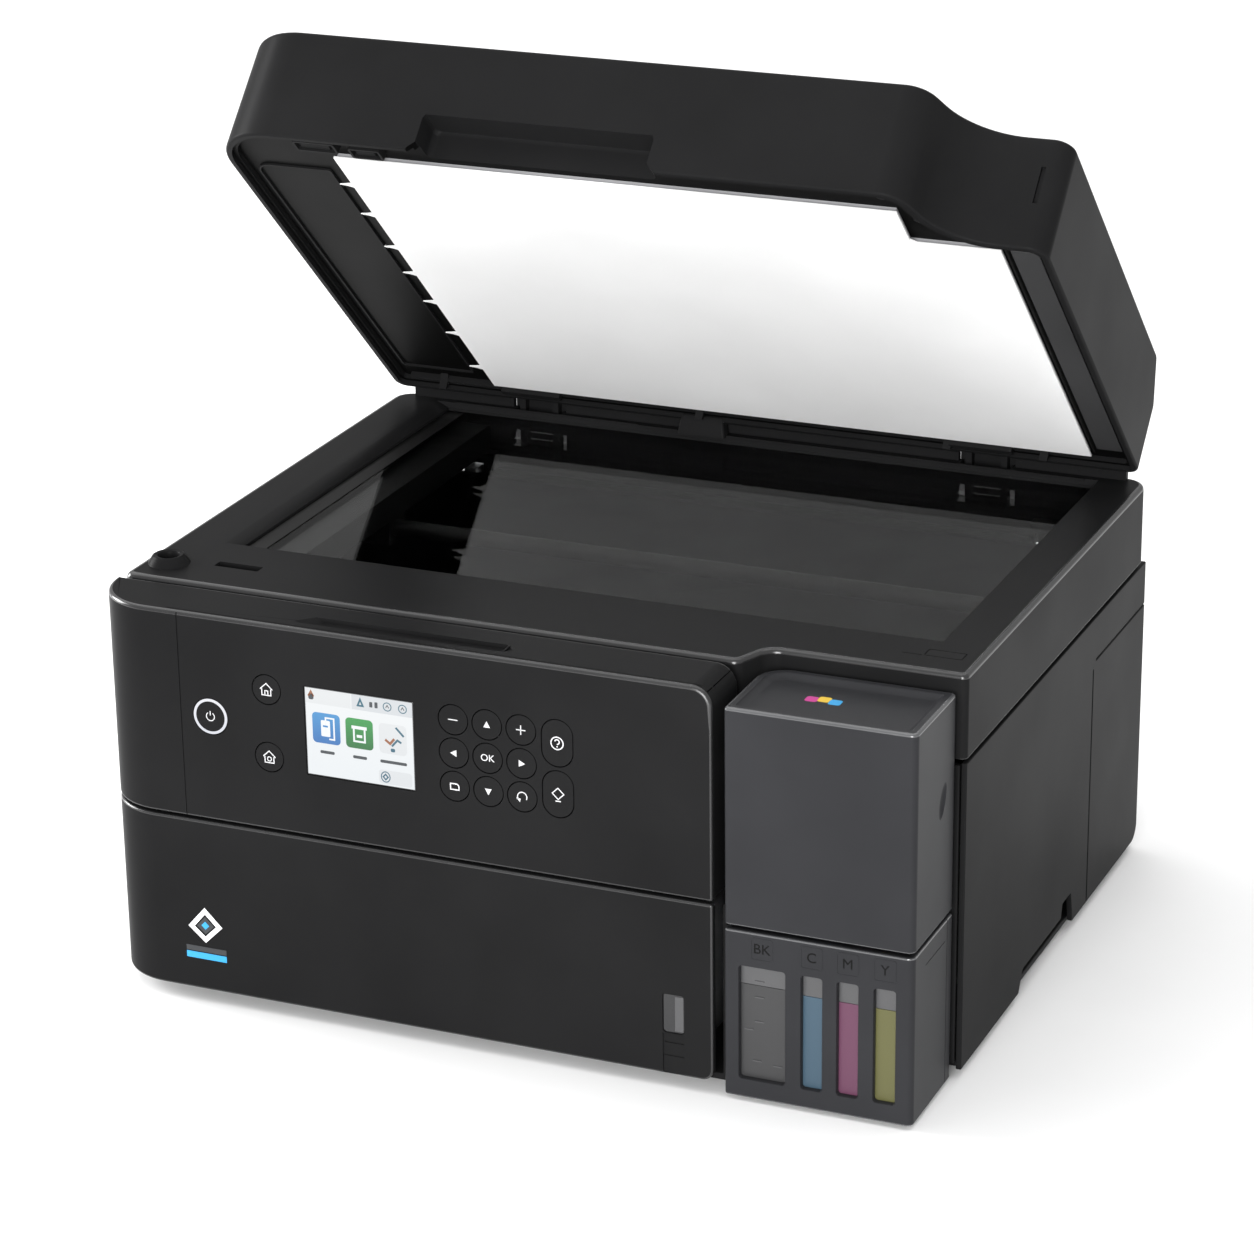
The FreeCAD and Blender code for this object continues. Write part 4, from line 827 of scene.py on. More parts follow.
def drawer():
    """The cassette front with its paper window and the stepped groove below it."""
    back = drawer_high.y
    bottom, top = drawer_low.z, drawer_high.z
    outer = prism(wrap_line(0, back), (bottom, top))
    body = carved(outer, [corner_cutter(bottom, 5.0, -1, back, 8)])
    body = softened(body, 0.9, [((-FAR, -FAR, top - 0.2), (FAR, FAR, top + 1), 1.1)], steps=3, painted_highlight=1)
    room = rounded(rectangle(LEFT + 3, FASCIA_RIGHT + 20, FACE + 3, back + 20), [CORNER - 3, 0, 0, 0], 20)
    window_x = (75.2, 84.8)
    window = rounded(rectangle(*window_x, 25.4, 43.0), [1.6, 1.6, 1.1, 1.1], 5)
    cutters = [
        prism(room, (bottom - 1, top + 1)),
        prism(window, (FACE - 2, FACE + 5), "xz"),
        box(window_x, (FACE - 1, FACE + 0.7), (bottom - 1, 25.2)),
        box((76.0, 84.4), (FACE - 1, FACE + 1.1), (20.6, 21.4)),
        box((75.6, 84.6), (FACE - 1, FACE + 1.1), (14.6, 15.2)),
    ]
    shell = carved(body, cutters)
    ties = [box((x, x + 12), (-151, -148), (14, 46)) for x in (-150, -50, 50)]
    # Rounded edges take the second material, a lighter and glossier copy of the casing: a painted highlight.
    finishes = [black_casing, casing_edge_painted_highlight]
    piece("drawer_front", "cassette", together([shell] + ties), finishes, ["cassette_front"])
    inner = rounded(rectangle(75.35, 84.65, 25.55, 42.85), [1.5, 1.5, 1.0, 1.0], 5)
    pane = softened(prism(inner, (FACE + 0.5, FACE + 1.6), "xz"), 0.25)
    gauge = box((80.6, 84.4), (FACE + 0.3, FACE + 0.6), (26.4, 42.2))
    face = (FACE - 0.12, FACE + 0.4)
    outline = [(-137.6, 43.9), (-130.9, 37.2), (-137.8, 30.4), (-144.4, 36.1)]
    heart = [(-137.6, 41.2), (-133.4, 37.1), (-137.7, 33.0), (-141.8, 36.6)]
    bar_x = (-147.4, -128.0)
    mark = [
        painted(ribbon(outline, 2.1, face, "xz", True), 0),
        painted(prism(heart, face, "xz"), 2),
        painted(prism(oval((-137.6, 37.1), (1.9, 1.9), 4), (FACE - 0.2, FACE + 0.3), "xz"), 1),
        painted(box(bar_x, face, (24.4, 26.8)), 2),
        painted(box(bar_x, face, (21.0, 23.9)), 1),
    ]
    piece("plain_sticker", "cassette", together(mark), [sticker_white, sticker_blue, sticker_grey])
    window_parts = together([painted(pane, 0), painted(softened(gauge, 0.1), 1)])
    piece("paper_window", "cassette", window_parts, [window_smoke, inner_grey])


# ---------------------------------------------------------------- ink tank unit


def tank_block():
    """The lower tank housing: four windows, raised label frames, and the deck under the cover."""
    left, right, front, back = tank_low.x, tank_high.x, FACE, tank_high.y
    bottom, top = tank_low.z, 77.2
    plan = rounded(rectangle(left, right, front, back), [1.6, 3.0, 1.4, 1.4], 8)
    outer = softened(prism(plan, (bottom, top)), 0.8, painted_highlight=1)
    cutters = [box((left + WALL, right - WALL), (front + WALL, back - WALL), (bottom + 2.5, top + 5))]
    for start, end in INKS.values():
        line = rounded(rectangle(start, end, *WINDOW), 1.3, 5)
        wide = rounded(rectangle(start - 0.5, end + 0.5, WINDOW[0] - 0.5, WINDOW[1] + 0.5), 1.7, 5)
        cutters.append(loft([(wide, front - 0.4), (line, front + 0.5), (line, front + 5)], "xz"))
    cutters.append(box((right - 0.5, right + 1), (-112.6, -112.0), (bottom - 1, top + 1)))
    cutters.append(box((right - 0.4, right + 1), (-139, -115), (68.2, 68.6)))
    shell = carved(outer, cutters)
    deck = carved(
        box((left + 1, right - 1), (front + WALL + 1, back - 1), (73, 75.8)),
        [rod("z", ((start + end) / 2, NECK_Y), NECK_HOLE, (70, 80)) for start, end in INKS.values()],
    )
    solids = [shell, deck]
    for ink in INKS:
        middle = neck_x(ink)
        for side in (-1, 1):
            x = middle + 4.6 * side
            ear = box((x - 0.9, x + 0.9), (CAP_PIVOT[0] - 2, CAP_PIVOT[0] + 2), (75, CAP_PIVOT[1] + 2))
            solids.append(softened(ear, 0.3))
        solids.append(rod("x", CAP_PIVOT, 1, (middle - 5, middle + 5), 20))
    for x in (110.5, 174.0):
        level = (COVER_PIVOT[1] - 1.9, COVER_PIVOT[1] + 1.9)
        solids.append(box((x, x + 2.5), (-144.2, -141), (75, level[1])))
        solids.append(box((x, x + 2.5), (COVER_PIVOT[0], -141), level))
        solids.append(rod("x", COVER_PIVOT, 1.9, (x, x + 2.5)))
    solids.append(rod("x", COVER_PIVOT, 1.2, (106, 112), 20))
    solids.append(rod("x", COVER_PIVOT, 1.2, (175, 181), 20))
    for start, end in INKS.values():
        middle = (start + end) / 2
        frame_line = rounded(rectangle(middle - 4.6, middle + 4.6, 65.4, 75.0), 1.0, 4)
        solids.append(ribbon(frame_line, 0.4, (front - 0.14, front + 0.5), "xz", True))
    # Rounded edges take the second material, a lighter and glossier copy of the smoke casing: a painted
    # highlight.
    finishes = [smoke_casing, smoke_edge_painted_highlight]
    piece("tank_block", "printer_base", together(solids), finishes, ["tank_housing"])
    letters = []
    for ink, (start, end) in INKS.items():
        letters.append(lettering(INK_LETTERS[ink], 4.6, ((start + end) / 2, 70.2), front, 0.12))
    piece("colour_letters", "printer_base", together(letters), letter_black)


def neck_x(ink):
    """Where a tank's filling neck stands, from its cap."""
    low, high = corners("cap_" + ink)
    return (low.x + high.x) / 2


def tank_bottles():
    """The bottles behind the windows: opaque ink colour below the level, opaque grey above it."""
    solids = []
    for index, (ink, (start, end)) in enumerate(INKS.items()):
        middle = neck_x(ink)
        level = 51.5 if ink != "black" else 52.5
        line = rectangle(start - 1, end + 1, -150.6, -110)
        solids.append(painted(softened(prism(rounded(line, 1.2, 4), (5, level)), 0.4), index))
        solids.append(painted(softened(prism(rounded(line, 1.2, 4), (level + 0.05, 71)), 0.4), 4))
        collar = [(5.5, 71), (5.5, 83), (5.1, 84), (2.7, 84), (2.6, 76)]
        solids.append(painted(turned(collar, "z", (middle, NECK_Y)), 4))
    marks = ((113.0, 54.2), (113.0, 47.0), (108.5, 32.0), (113.0, 36.0), (112.0, 18.0), (121.0, 17.0))
    for x, z in marks:
        mark = box((x + 2, x + 6), (-150.95, -150.4), (z, z + 0.45))
        solids.append(painted(mark, 4))
    materials = [ink_paint[ink] for ink in INKS] + [empty_tank]
    piece("ink_bottles", "printer_base", together(solids), materials, ["ink_tanks"])


def tank_lid():
    """The tall tilting cover of the tanks, with a dished top inside a rim."""
    left, right, front, back = cover_low.x, cover_high.x, FACE, cover_high.y
    bottom, top = cover_low.z, cover_high.z
    radii = [2.0, 3.0, 2.0, 13.0]
    plan = rounded(rectangle(left, right, front, back), radii, 10)
    upper_edge = [((-FAR, -FAR, top - 0.1), (FAR, FAR, FAR), 1.3)]
    outer = softened(prism(plan, (bottom, top)), 0.6, upper_edge, 3, painted_highlight=1)
    inner = rounded(rectangle(left + 2.2, right - 2.2, front + 2.2, back - 2.2), [0.5, 1, 0.5, 11], 10)

    def dish_line(inset, radius):
        sides = rectangle(left + inset, right - inset, front + inset - 0.6, back - inset)
        return rounded(sides, [radius, radius, radius, 13 - inset], 10)

    rim, lip, floor = dish_line(3.4, 1.6), dish_line(3.9, 1.6), dish_line(7.0, 2.2)
    dish = loft([(rim, top + 0.5), (lip, top - 0.4), (floor, top - 2.4)])
    grip = bmesh.new()
    bmesh.ops.create_uvsphere(grip, u_segments=24, v_segments=16, radius=1)
    shape = Matrix.Translation((right + 0.9, -121, 133)) @ Matrix.Rotation(math.radians(-24), 4, "X")
    bmesh.ops.transform(grip, matrix=shape @ Matrix.Diagonal((2.2, 4.0, 8.8, 1)), verts=grip.verts)
    shell = carved(outer, [prism(inner, (bottom - 5, top - 4.6)), dish, grip])
    lugs = []
    for x in (106.4, 177.0):
        lug = box((x, x + 3.6), (-151.8, -146.8), (81.6, 86.4))
        lugs.append(softened(carved(lug, [rod("x", COVER_PIVOT, 1.25, (x - 1, x + 5), 20)]), 0.2))
    dots = []
    for index, (x, y) in enumerate(((130.4, -127.4), (135.4, -126.2), (140.4, -127.6))):
        line = rounded(rectangle(x - 2.6, x + 2.6, y - 2.6, y + 2.6), 1.2, 5)
        dots.append(painted(prism(line, (top - 2.6, top - 2.3 + 0.02 * index)), index))
    dot_paint = [sticker_magenta, sticker_yellow, sticker_blue]
    piece("colour_squares", "tank_cover", together(dots), dot_paint)
    # Rounded edges take the second material, a lighter and glossier copy of the smoke casing: a painted
    # highlight.
    finishes = [smoke_casing, smoke_edge_painted_highlight]
    solid = together([shell] + lugs)
    piece("tank_cover_shell", "tank_cover", solid, finishes, ["ink_tank_cover"])


def tank_caps():
    """Four ribbed caps, each on an arm that turns about the deck's pivot."""
    side = [(6.3, 82), (CAP_RADIUS, 82), (CAP_RADIUS, 87.2), (6.4, 88)]
    crown_profile = side + [(3.6, 88), (3.2, 87.4), (0.4, 87.4)]
    for ink in INKS:
        middle = neck_x(ink)
        crown = turned(crown_profile, "z", (middle, NECK_Y))
        arm = softened(box((middle - 3, middle + 3), (-128, CAP_PIVOT[0] + 0.5), (84.4, 87)), 0.4)
        stem = box((middle - 3, middle + 3), (CAP_PIVOT[0] - 2, CAP_PIVOT[0] + 2), (CAP_PIVOT[1] - 2, 87))
        stem = softened(carved(stem, [rod("x", CAP_PIVOT, 1.05, (middle - 4, middle + 4), 20)]), 0.3)
        ribs = []
        for step in range(CAP_RIBS):
            turn = 2 * math.pi * step / CAP_RIBS
            spot = (middle + CAP_RADIUS * math.cos(turn), NECK_Y + CAP_RADIUS * math.sin(turn))
            ribs.append(rod("z", spot, 0.45, (82.6, 86.8), 8))
        piece(
            "cap_top_" + ink,
            "cap_%s_body" % ink,
            together([crown, arm, stem] + ribs),
            cap_paint[ink],
            ["cap_" + ink],
        )


# ---------------------------------------------------------------- scanner unit


def scanner_plan(inset, radii):
    half = scan_high.x - inset
    front, back = -120.5 + inset, scan_high.y - inset
    step_front = -103.0 + inset
    points = [
        (-half, front),
        (96.0 - inset, front),
        (103.0 - inset, step_front),
        (half, step_front),
        (half, back),
        (-half, back),
    ]
    return rounded(points, radii, 8)


def scanner_frame():
    """The moulded top of the scanner round the glass, with its locating ring and catches."""
    bottom, top = 144.0, 181.0
    outer = prism(scanner_plan(0, [4.5, 5, 8, 2.8, 10, 10]), (bottom, top))
    edges = [
        ((-FAR, -FAR, top - 0.2), (FAR, FAR, top + 1), 2.2),
        ((-190, -125, top - 0.2), (-176, 160, top + 1), 3.0),
    ]
    body = softened(outer, 0.5, edges, steps=4, painted_highlight=1)
    left, right, near, rear = glass_low.x + 2, glass_high.x - 2, glass_low.y + 2, glass_high.y - 2
    opening = prism(rectangle(left, right, near, rear), (170, 190))
    slope = loft(
        [
            (rectangle(left - 6.8, right + 1.4, near - 1.2, rear + 0.8), top + 0.2),
            (rectangle(left - 0.2, right + 0.2, near - 0.2, rear + 0.2), top - 2.6),
        ]
    )
    catch = prism(rounded(rectangle(-155, -134, -98.6, -93), 0.5, 3), (176, 190))
    room = prism(scanner_plan(WALL, [2, 3, 9, 1, 8, 8]), (bottom - 1, top - 4))
    posts = [box((x - 7.6, x + 7.6), (149, 160), (140, 152.4)) for x in (-145, 145)]
    wells = [box((x - 12, x + 12), (145.6, 152.2), (178.9, 190)) for x in LID_HINGES]
    bore = rod("z", RING_AT, 4.2, (170, 190))
    marks = [
        ribbon(rounded(rectangle(164, 180, -88, -81), 0.8, 3), 0.5, (top - 0.35, top + 1), "xy", True),
        box((154.5, 163), (-88.4, -87.9), (top - 0.3, top + 1)),
    ]
    shell = carved(body, [room, opening, slope, catch, bore] + posts + wells + marks)
    solids = [shell]
    cone = [(9.4, -0.3), (9.0, 0.5), (7.2, 3.4), (6.2, 3.95), (5.0, 3.6), (4.3, 2.4), (4.25, -0.3)]
    solids.append(turned([(radius, top + rise) for radius, rise in cone], "z", RING_AT))
    for x in LID_HINGES:
        for side in (-1, 1):
            ear_x = (x + 8.5 * side - 1.5, x + 8.5 * side + 1.5)
            foot = box(ear_x, (LID_PIVOT[0] - 3, LID_PIVOT[0] + 2), (177, LID_PIVOT[1]))
            solids += [foot, rod("x", LID_PIVOT, 2.8, ear_x)]
        solids.append(rod("x", LID_PIVOT, 1.5, (x - 9, x + 9), 20))
        solids.append(box((x - 13.6, x + 13.6), (152.3, 153.5), (177, 185.2)))
    ridge = [(148.9, top - 1), (152.4, top - 1), (152.4, top + 3), (150.4, top + 7.4), (148.9, top + 7.4)]
    ridge = rounded(ridge, [0, 0, 1, 0.6, 0.6], 4)
    for start, end in ((-178, -125.6), (-98.4, 98.4), (125.6, 178)):
        solids.append(softened(prism(ridge, (start, end), "yz"), 0.3))
    ledge = [(-154, 144.6), (-60, 144.6), (-58, 143.4), (160, 143.4)]
    solids.append(ribbon(ledge, 0.7, (top - 0.4, top + 0.5), "xy"))
    tab = loft(
        [
            (rounded(rectangle(-38, -14, 140.5, 147.5), 1.2, 4), top - 0.5),
            (rounded(rectangle(-37, -15, 141.5, 147.2), 1.2, 4), top + 5.4),
            (rounded(rectangle(-36, -16, 143.5, 147.0), 1.0, 4), top + 8.6),
        ]
    )
    solids.append(softened(tab, 0.4))
    # Rounded edges take the second material, a lighter and glossier copy of the casing: a painted highlight.
    finishes = [black_casing, casing_edge_painted_highlight]
    piece("scanner_frame", "scanner_unit", together(solids), finishes, ["scanner_top"])
    strip = softened(box((left + 0.4, left + 9), (near + 2, rear - 2), (176.95, 177.2)), 0.05)
    piece("glass_edge_strip", "scanner_unit", strip, inner_black)


# ---------------------------------------------------------------- document lid


def swung(solid):
    """Turn a solid from where it lies on the shut lid to the open rest place."""
    about = Matrix.Translation((0, LID_PIVOT[0], LID_PIVOT[1]))
    turn = about @ Matrix.Rotation(-LID_ANGLE, 4, "X") @ about.inverted()
    bmesh.ops.transform(solid, matrix=turn, verts=solid.verts)
    return solid


def lid_plan(inset, radii, step=10):
    half = LID_HALF - inset
    front, back = LID_FRONT + inset, LID_REAR - inset
    points = [
        (-half, front),
        (130 - inset, front),
        (144 - inset, LID_STEP + inset),
        (half, LID_STEP + inset),
        (half, back),
        (-half, back),
    ]
    return rounded(points, radii, step)


def lid_case():
    """The hollow lid with its scoop, hinge wells and the small parts moulded round its underside."""
    low, high = LID_BOTTOM, LID_TOP
    wall = [27, 11, 35, 6, 3, 3]
    outer = prism(lid_plan(0, [30, 14, 32, 9, 6, 6], 14), (low, high))
    chamfer = [(LID_REAR - 20, high + 1), (LID_REAR + 1, high + 1), (LID_REAR + 1, high - 26)]
    slope = prism(chamfer, (-200, 200), "yz")
    body = carved(outer, [slope])
    edges = [
        ((-FAR, -FAR, high - 0.2), (FAR, FAR, high + 1), 2.6),
        ((-FAR, -FAR, low - 1), (FAR, FAR, low + 0.2), 1.3),
    ]
    body = softened(body, 1.2, edges, steps=4, angle=32)

    def scoop_line(left, right, rear):
        return rounded(rectangle(left, right, LID_FRONT - 3, rear), [0, 0, 3, 3], 5)

    mouth, throat, roof = scoop_line(-91, 25, -81.5), scoop_line(-86, 20, -81.8), scoop_line(-85, 19, -83)
    scoop = loft([(mouth, low - 1), (throat, low + 3.6), (throat, low + 15.2), (roof, low + 17)])
    behind_slope = [(124, high - 0.5), (129, high - 0.5), (150, high - 26), (144.6, high - 29)]
    inside = [
        prism(lid_plan(3.0, wall, 14), (low + 8, high - 3)),
        box((-90, 24), (LID_FRONT - 1, -78), (low - 1, low + 21)),
        box((-184, -93), (-69, 127), (low + 21, high - 1)),
        box((-93, 135), (-65, 119), (high - 25, high - 1)),
        prism(behind_slope, (-190, 190), "yz"),
    ]
    body = carved(body, [carved(inside[0], inside[1:])])
    cutters = [
        prism(lid_plan(3.0, wall, 14), (low - 1, low + 2.2)),
        prism(lid_plan(5.0, [25, 10, 37, 4, 2, 2], 14), (low - 1, low + 4.6)),
        scoop,
        box((-180.9, -96), (-66, 124), (low + 24, high + 1)),
        box((-90, 132), (-62, 116), (high - 22, high + 1)),
        box((-98, -88), (-62, 116), (high - 20, high - 4)),
    ]
    cutters += [box((x - 13, x + 13), (142, 156), (low - 2, low + 12)) for x in LID_HINGES]
    slot = box((174.9, 176.9), (LID_STEP - 2, LID_STEP + 1.6), (low + 21, low + 38))
    cutters.append(slot)
    shell = carved(body, cutters)
    # Downward faces just above the lid's bottom take the darker black: painted shade.
    for face in shell.faces:
        if face.normal.z < -0.5 and low + 1 < face.calc_center_median().z < low + 8:
            face.material_index = 1
    solids = [shell]
    for x in LID_HINGES:
        knuckle = softened(box((x - 6.4, x + 6.4), (140, LID_PIVOT[0]), (185.4, 190.6)), 0.4)
        eye = rod("x", LID_PIVOT, 2.6, (x - 6.4, x + 6.4))
        solids += [knuckle, eye, box((x - 15, x + 15), (138.5, 142), (low - 0.7, low + 14))]
        solids.append(box((x - 13.5, x + 13.5), (145.2, 146.6), (low + 0.2, low + 13)))
    solids.append(rod("y", FEEDER_PIVOT, 1.5, (-68, 126), 20))
    edge = rounded([(-176.5, -62), (-140, -62), (-140, 131), (-176.5, 131)], [7, 1, 1, 2], 5)
    solids.append(ribbon(edge, 0.9, (low + 3.6, low + 4.8), "xy", True))
    hook = rounded([(122, -88), (116, -93), (108, -90)], [0, 2, 0], 4)
    solids.append(ribbon(hook, 1.0, (low + 3.4, low + 4.8), "xy"))
    stud = [(2.1, low + 4.8), (2.1, low + 3.9), (1.4, low + 3.7), (0.9, low + 4.3)]
    for centre in ((120, -87), (132, -70)):
        solids.append(turned(stud, "z", centre, 24))
    for start, end, y in ((-146, -127, -87.0), (-120, -106, -85.0)):
        ring = rounded(rectangle(start, end, y - 3.5, y + 3.5), 0.8, 3)
        solids.append(ribbon(ring, 1.1, (low + 1.2, low + 4.8), "xy", True))
        solids.append(softened(box((start + 2, end - 3), (y - 0.8, y + 2.6), (low + 2.2, low + 4.8)), 0.3))
    for x in (-158.0, -26.0, 96.0, 142.0):
        barb = [(141.6, low - 1.4), (139.9, low - 2.6), (139.4, low + 1)]
        clip = [(137.4, low + 4.8), (141.6, low + 4.8)] + barb
        solids.append(softened(prism(clip, (x - 2, x + 2), "yz"), 0.3))
    for start, end in ((-176, -60), (-48, 60), (70, 160)):
        solids.append(softened(box((start, end), (139.2, 140.4), (low + 1.4, low + 4.8)), 0.3))
    piece("lid_case", "lid", swung(together(solids)), [black_casing, underside_painted_shade], ["lid_shell"])
    strip = softened(prism(rounded(rectangle(167.6, 179.6, -52, 133), 0.6, 3), (low + 3.2, low + 4.7)), 0.3)
    piece("feeder_backing", "lid", swung(strip), strip_grey)
    rails = []
    for x in (166.1, 180.6):
        rails.append(softened(box((x - 0.5, x + 0.5), (-54, 136), (low + 2.6, low + 4.7)), 0.25))
    piece("feeder_backing_rails", "lid", swung(together(rails)), inner_black)


def document_pad():
    """The white mat on its foam, with the small tabs along its left edge."""
    low = LID_BOTTOM + 1.4
    line = [(-131, -79), (125.5, -79), (125.5, -56), (128, -54), (164.5, -54), (164.5, 138), (-131, 138)]
    sheet = softened(prism(line, (low, low + 1.1)), 0.2)
    foam_line = [(-130, -78), (124.5, -78), (124.5, -53), (163.5, -53), (163.5, 137), (-130, 137)]
    foam = prism(foam_line, (low + 1.1, low + 3.1))
    tabs = []
    for depth in (203, 176.5, 146.5, 122, 94.4, 63.3, 28.9):
        y = LID_REAR - depth
        tab = [(-130.6, y - 1.6), (-130.6, y + 2.2), (-133.6, y + 0.9), (-137.4, y + 0.3), (-134.2, y - 0.5)]
        tabs.append(prism(tab, (low + 0.1, low + 0.7)))
    solids = [painted(sheet, 0), painted(foam, 1)] + [painted(tab, 0) for tab in tabs]
    pad = swung(together(solids))
    piece("document_pad", "lid", pad, [mat_white, foam_grey], ["document_mat"])


def feeder_top():
    """Feeder cover and input tray on top of the lid."""
    high = LID_TOP
    cover = softened(box((FEEDER_PIVOT[0], -96.6), (-65.4, 123.4), (high - 2.6, high)), 0.5)
    knuckle = rod("y", FEEDER_PIVOT, 2.9, (-65.4, 123.4), 24)
    ribs = [box((-150, -148), (-50, 108), (224, high - 2)), box((-112, -110), (-50, 108), (224, high - 2))]
    grip = softened(box((-103, -99), (10, 50), (high - 0.2, high + 0.6)), 0.3)
    solids = [cover, knuckle, grip] + ribs
    arrows = row(box((-0.8, 0.8), (-2.5, 2.5), (-0.1, 0.35)), 8, (-168, -40, high), (0, 20, 0), black_casing)
    plate = swung(together(solids + [arrows]))
    piece("feeder_cover_plate", "feeder_cover", plate, black_casing, ["adf_cover"])
    tray = carved(
        softened(box((-86, 131.6), (-61.6, 115.6), (high - 2.4, high)), 0.6),
        [
            loft(
                [
                    (rounded(rectangle(-62, 124, -47, 102), 6, 6), high + 0.5),
                    (rounded(rectangle(-60, 122, -45, 100), 5, 6), high - 1.2),
                ]
            ),
            box((-40, -36), (-44, 99), (high - 3, high + 1)),
        ],
    )
    hinge = softened(box((-89.4, -80), (-61.6, 115.6), (high - 7.4, high - 1.5)), 0.5)
    ridges = row(box((-60, 60), (-0.5, 0.5), (-0.2, 0.35)), 7, (40, -36, high - 1.2), (0, 22, 0), inner_black)
    plate = swung(together([tray, hinge, ridges]))
    piece("feeder_tray_plate", "feeder_tray", plate, black_casing, ["adf_input_tray"])
    for side in ("front", "back"):
        plain("adf_guide_" + side, 0.3, inner_grey)


# ---------------------------------------------------------------- pieces that keep the frame's shape


def body_name(node):
    return body_of(frame["nodes"][node])[0]


def plain(node, width, material, extras=()):
    """A piece with the frame's own shape and its sharp edges rounded off."""
    solid = softened(own_shape(node), width)
    if extras:
        solid = together([solid] + list(extras))
    return piece(node + "_part", body_name(node), solid, material, [node])


def screw(x, z, y):
    """A pan-head screw in a face towards +Y, with a cross recess."""
    head = turned([(2.9, y - 0.4), (2.9, y + 0.5), (2.2, y + 1.2), (0.3, y + 1.4)], "y", (x, z), 24)
    depth = (y + 0.7, y + 3)
    across = box((x - 1.5, x + 1.5), depth, (z - 0.3, z + 0.3))
    upright = box((x - 0.3, x + 0.3), depth, (z - 1.5, z + 1.5))
    return carved(head, [across, upright])


CASE_SCREWS = ((-178, 128), (178, 128), (-178, 14), (176, 60), (80, 128), (80, 60))


def outer_covers():
    """Sides, base, scanner tray, feet, and what is fixed to the back."""
    plain("right_cover", 0.5, black_casing)
    vents = row(box((-0.8, 1.0), (-14, 14), (-1.1, 1.1)), 12, (LEFT, 105, 28), (0, 0, 6.5), inner_black)
    left = carved(own_shape("left_cover"), [vents])
    piece("left_side", "printer_base", softened(left, 0.4), black_casing, ["left_cover"])
    plain("base_housing", 0.5, black_casing)
    plain("scanner_base", 0.3, inner_black)
    plain("rubber_feet", 0.5, foot_rubber)
    low, high = corners("rear_cover")
    start = ((low.x + high.x) / 2, high.y - 0.2, 96)
    ridges = row(box((-82, 82), (-0.3, 0.7), (-0.5, 0.5)), 4, start, (0, 0, 6), black_casing)
    plain("rear_cover", 0.7, black_casing, extras=[ridges])
    plain("maintenance_box", 0.5, black_casing)
    plain("ac_inlet", 0.3, inner_black)
    plain("data_ports", 0.3, inner_black)
    back = corners("base_housing")[1].y
    screws = [screw(x, z, back) for x, z in CASE_SCREWS]
    piece("case_screws", "printer_base", together(screws), bright_steel)


BELT_TEETH, BELT_PITCH = 110, 3


def running_gear():
    """The print carriage, the paper trays with their edge guides, and the toothed belt."""
    plain("print_carriage", 0.6, inner_black)
    plain("cassette_tray", 0.4, inner_black)
    plain("output_tray", 0.4, inner_black)
    for side in ("left", "right"):
        plain("edge_guide_" + side, 0.3, inner_grey)
    low = corners("carriage_rail")[0]
    tooth = box((-0.5, 0.5), (-3, 3), (-0.35, 0.35))
    first = (low.x + 24, low.y - 2, low.z + 3)
    teeth = row(tooth, BELT_TEETH, first, (BELT_PITCH, 0, 0), foot_rubber)
    end = low.x + 24 + BELT_TEETH * BELT_PITCH
    back = box((low.x + 22, end), (low.y - 5, low.y + 1), (low.z + 3.3, low.z + 4.1))
    piece("timing_belt", "printer_base", together([teeth, back]), foot_rubber)


KEEPS_FRAME_MESH = {
    zinc_plate: ("mech_frame", "carriage_rail", "carriage_motor", "power_supply"),
    inner_black: ("platen", "cis_rail", "cis_carriage"),
    # The scanner carriage rail takes the inner black rather than steel, so it looks dark under the glass:
    # painted shade.
    board_green: ("main_board",),
    scan_glass: ("platen_glass",),
    roller_rubber: ("feed_roller", "eject_roller", "pickup_roller", "adf_roller"),
    gear_plastic: ("drive_gear", "belt_pulley"),
}


def paint_frame_parts():
    """Finish the nodes that keep their frame mesh."""
    for material, nodes in KEEPS_FRAME_MESH.items():
        for node in nodes:
            item = frame["nodes"][node]
            item.data.materials.clear()
            item.data.materials.append(material)


# ---------------------------------------------------------------- floor, light and camera


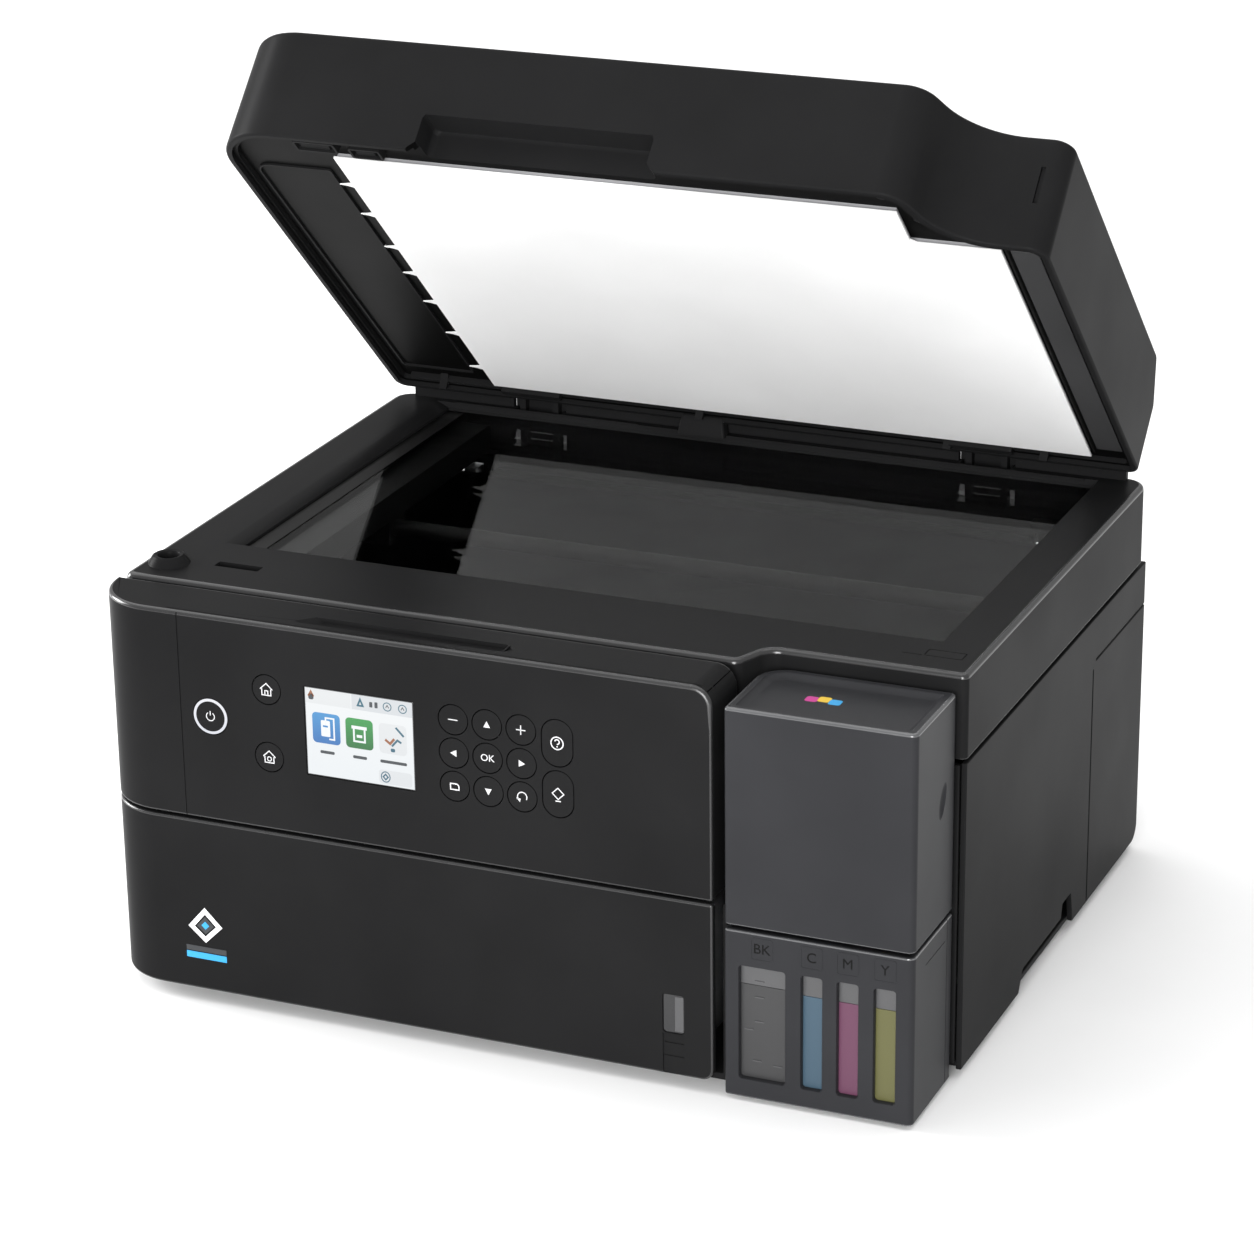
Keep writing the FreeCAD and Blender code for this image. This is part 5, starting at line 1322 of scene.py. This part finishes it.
def studio():
    """A pale floor, an even sky and three lamps placed in metres."""
    floor = bmesh.new()
    bmesh.ops.create_grid(floor, x_segments=1, y_segments=1, size=9000)
    bmesh.ops.transform(floor, matrix=Matrix.Scale(MM, 4), verts=floor.verts)
    ground = stand_in("floor", floor)
    pale = moulded("pale_floor", (0.86, 0.86, 0.86), 0.85, grain=4, depth=0.01, gloss=0.1, vary=0.01)
    ground.data.materials.append(pale)
    world = bpy.data.worlds.new("studio")
    world.use_nodes = True
    world.node_tree.nodes["Background"].inputs["Color"].default_value = (1, 1, 1, 1)
    world.node_tree.nodes["Background"].inputs["Strength"].default_value = 0.7
    bpy.context.scene.world = world
    lamps = {
        "overhead": ((-0.3, 0.6, 2.2), (0, 0, 0.1), 3.4, 46),
        "left_strip": ((-2.1, -0.1, 0.8), (0, 0, 0.15), 1.1, 60),
        "low_front": ((0.4, -1.9, 0.5), (0, 0.1, 0.28), 1.0, 50),
    }
    for name, (place, aim, width, power) in lamps.items():
        light = bpy.data.lights.new(name, "AREA")
        light.size = width
        light.energy = power
        lamp = bpy.data.objects.new(name, light)
        lamp.location = place
        lamp.rotation_euler = (Vector(aim) - Vector(place)).to_track_quat("-Z", "Y").to_euler()
        bpy.context.scene.collection.objects.link(lamp)
    bpy.context.scene.view_settings.view_transform = "Standard"


def camera():
    azimuth, elevation, roll = (math.radians(angle) for angle in (23.23, 21.81, -0.74))
    target = Vector((-4.67, -0.06, 109.86)) * MM
    distance = 1834.54 * MM
    back = Vector(
        (
            math.sin(azimuth) * math.cos(elevation),
            -math.cos(azimuth) * math.cos(elevation),
            math.sin(elevation),
        )
    )
    data = bpy.data.cameras.new("camera")
    data.sensor_width = 36
    data.lens = 118.71
    data.shift_y = 0.0476
    data.clip_end = 50
    item = bpy.data.objects.new("camera", data)
    item.location = target + back * distance
    aim = (-back).to_track_quat("-Z", "Y").to_matrix().to_4x4()
    item.rotation_euler = (aim @ Matrix.Rotation(roll, 4, "Z")).to_euler()
    bpy.context.scene.collection.objects.link(item)
    bpy.context.scene.camera = item


panel_shell()
keys()
screen_picture()
drawer()
tank_block()
tank_bottles()
tank_lid()
tank_caps()
scanner_frame()
lid_case()
document_pad()
feeder_top()
outer_covers()
running_gear()
paint_frame_parts()
studio()
camera()
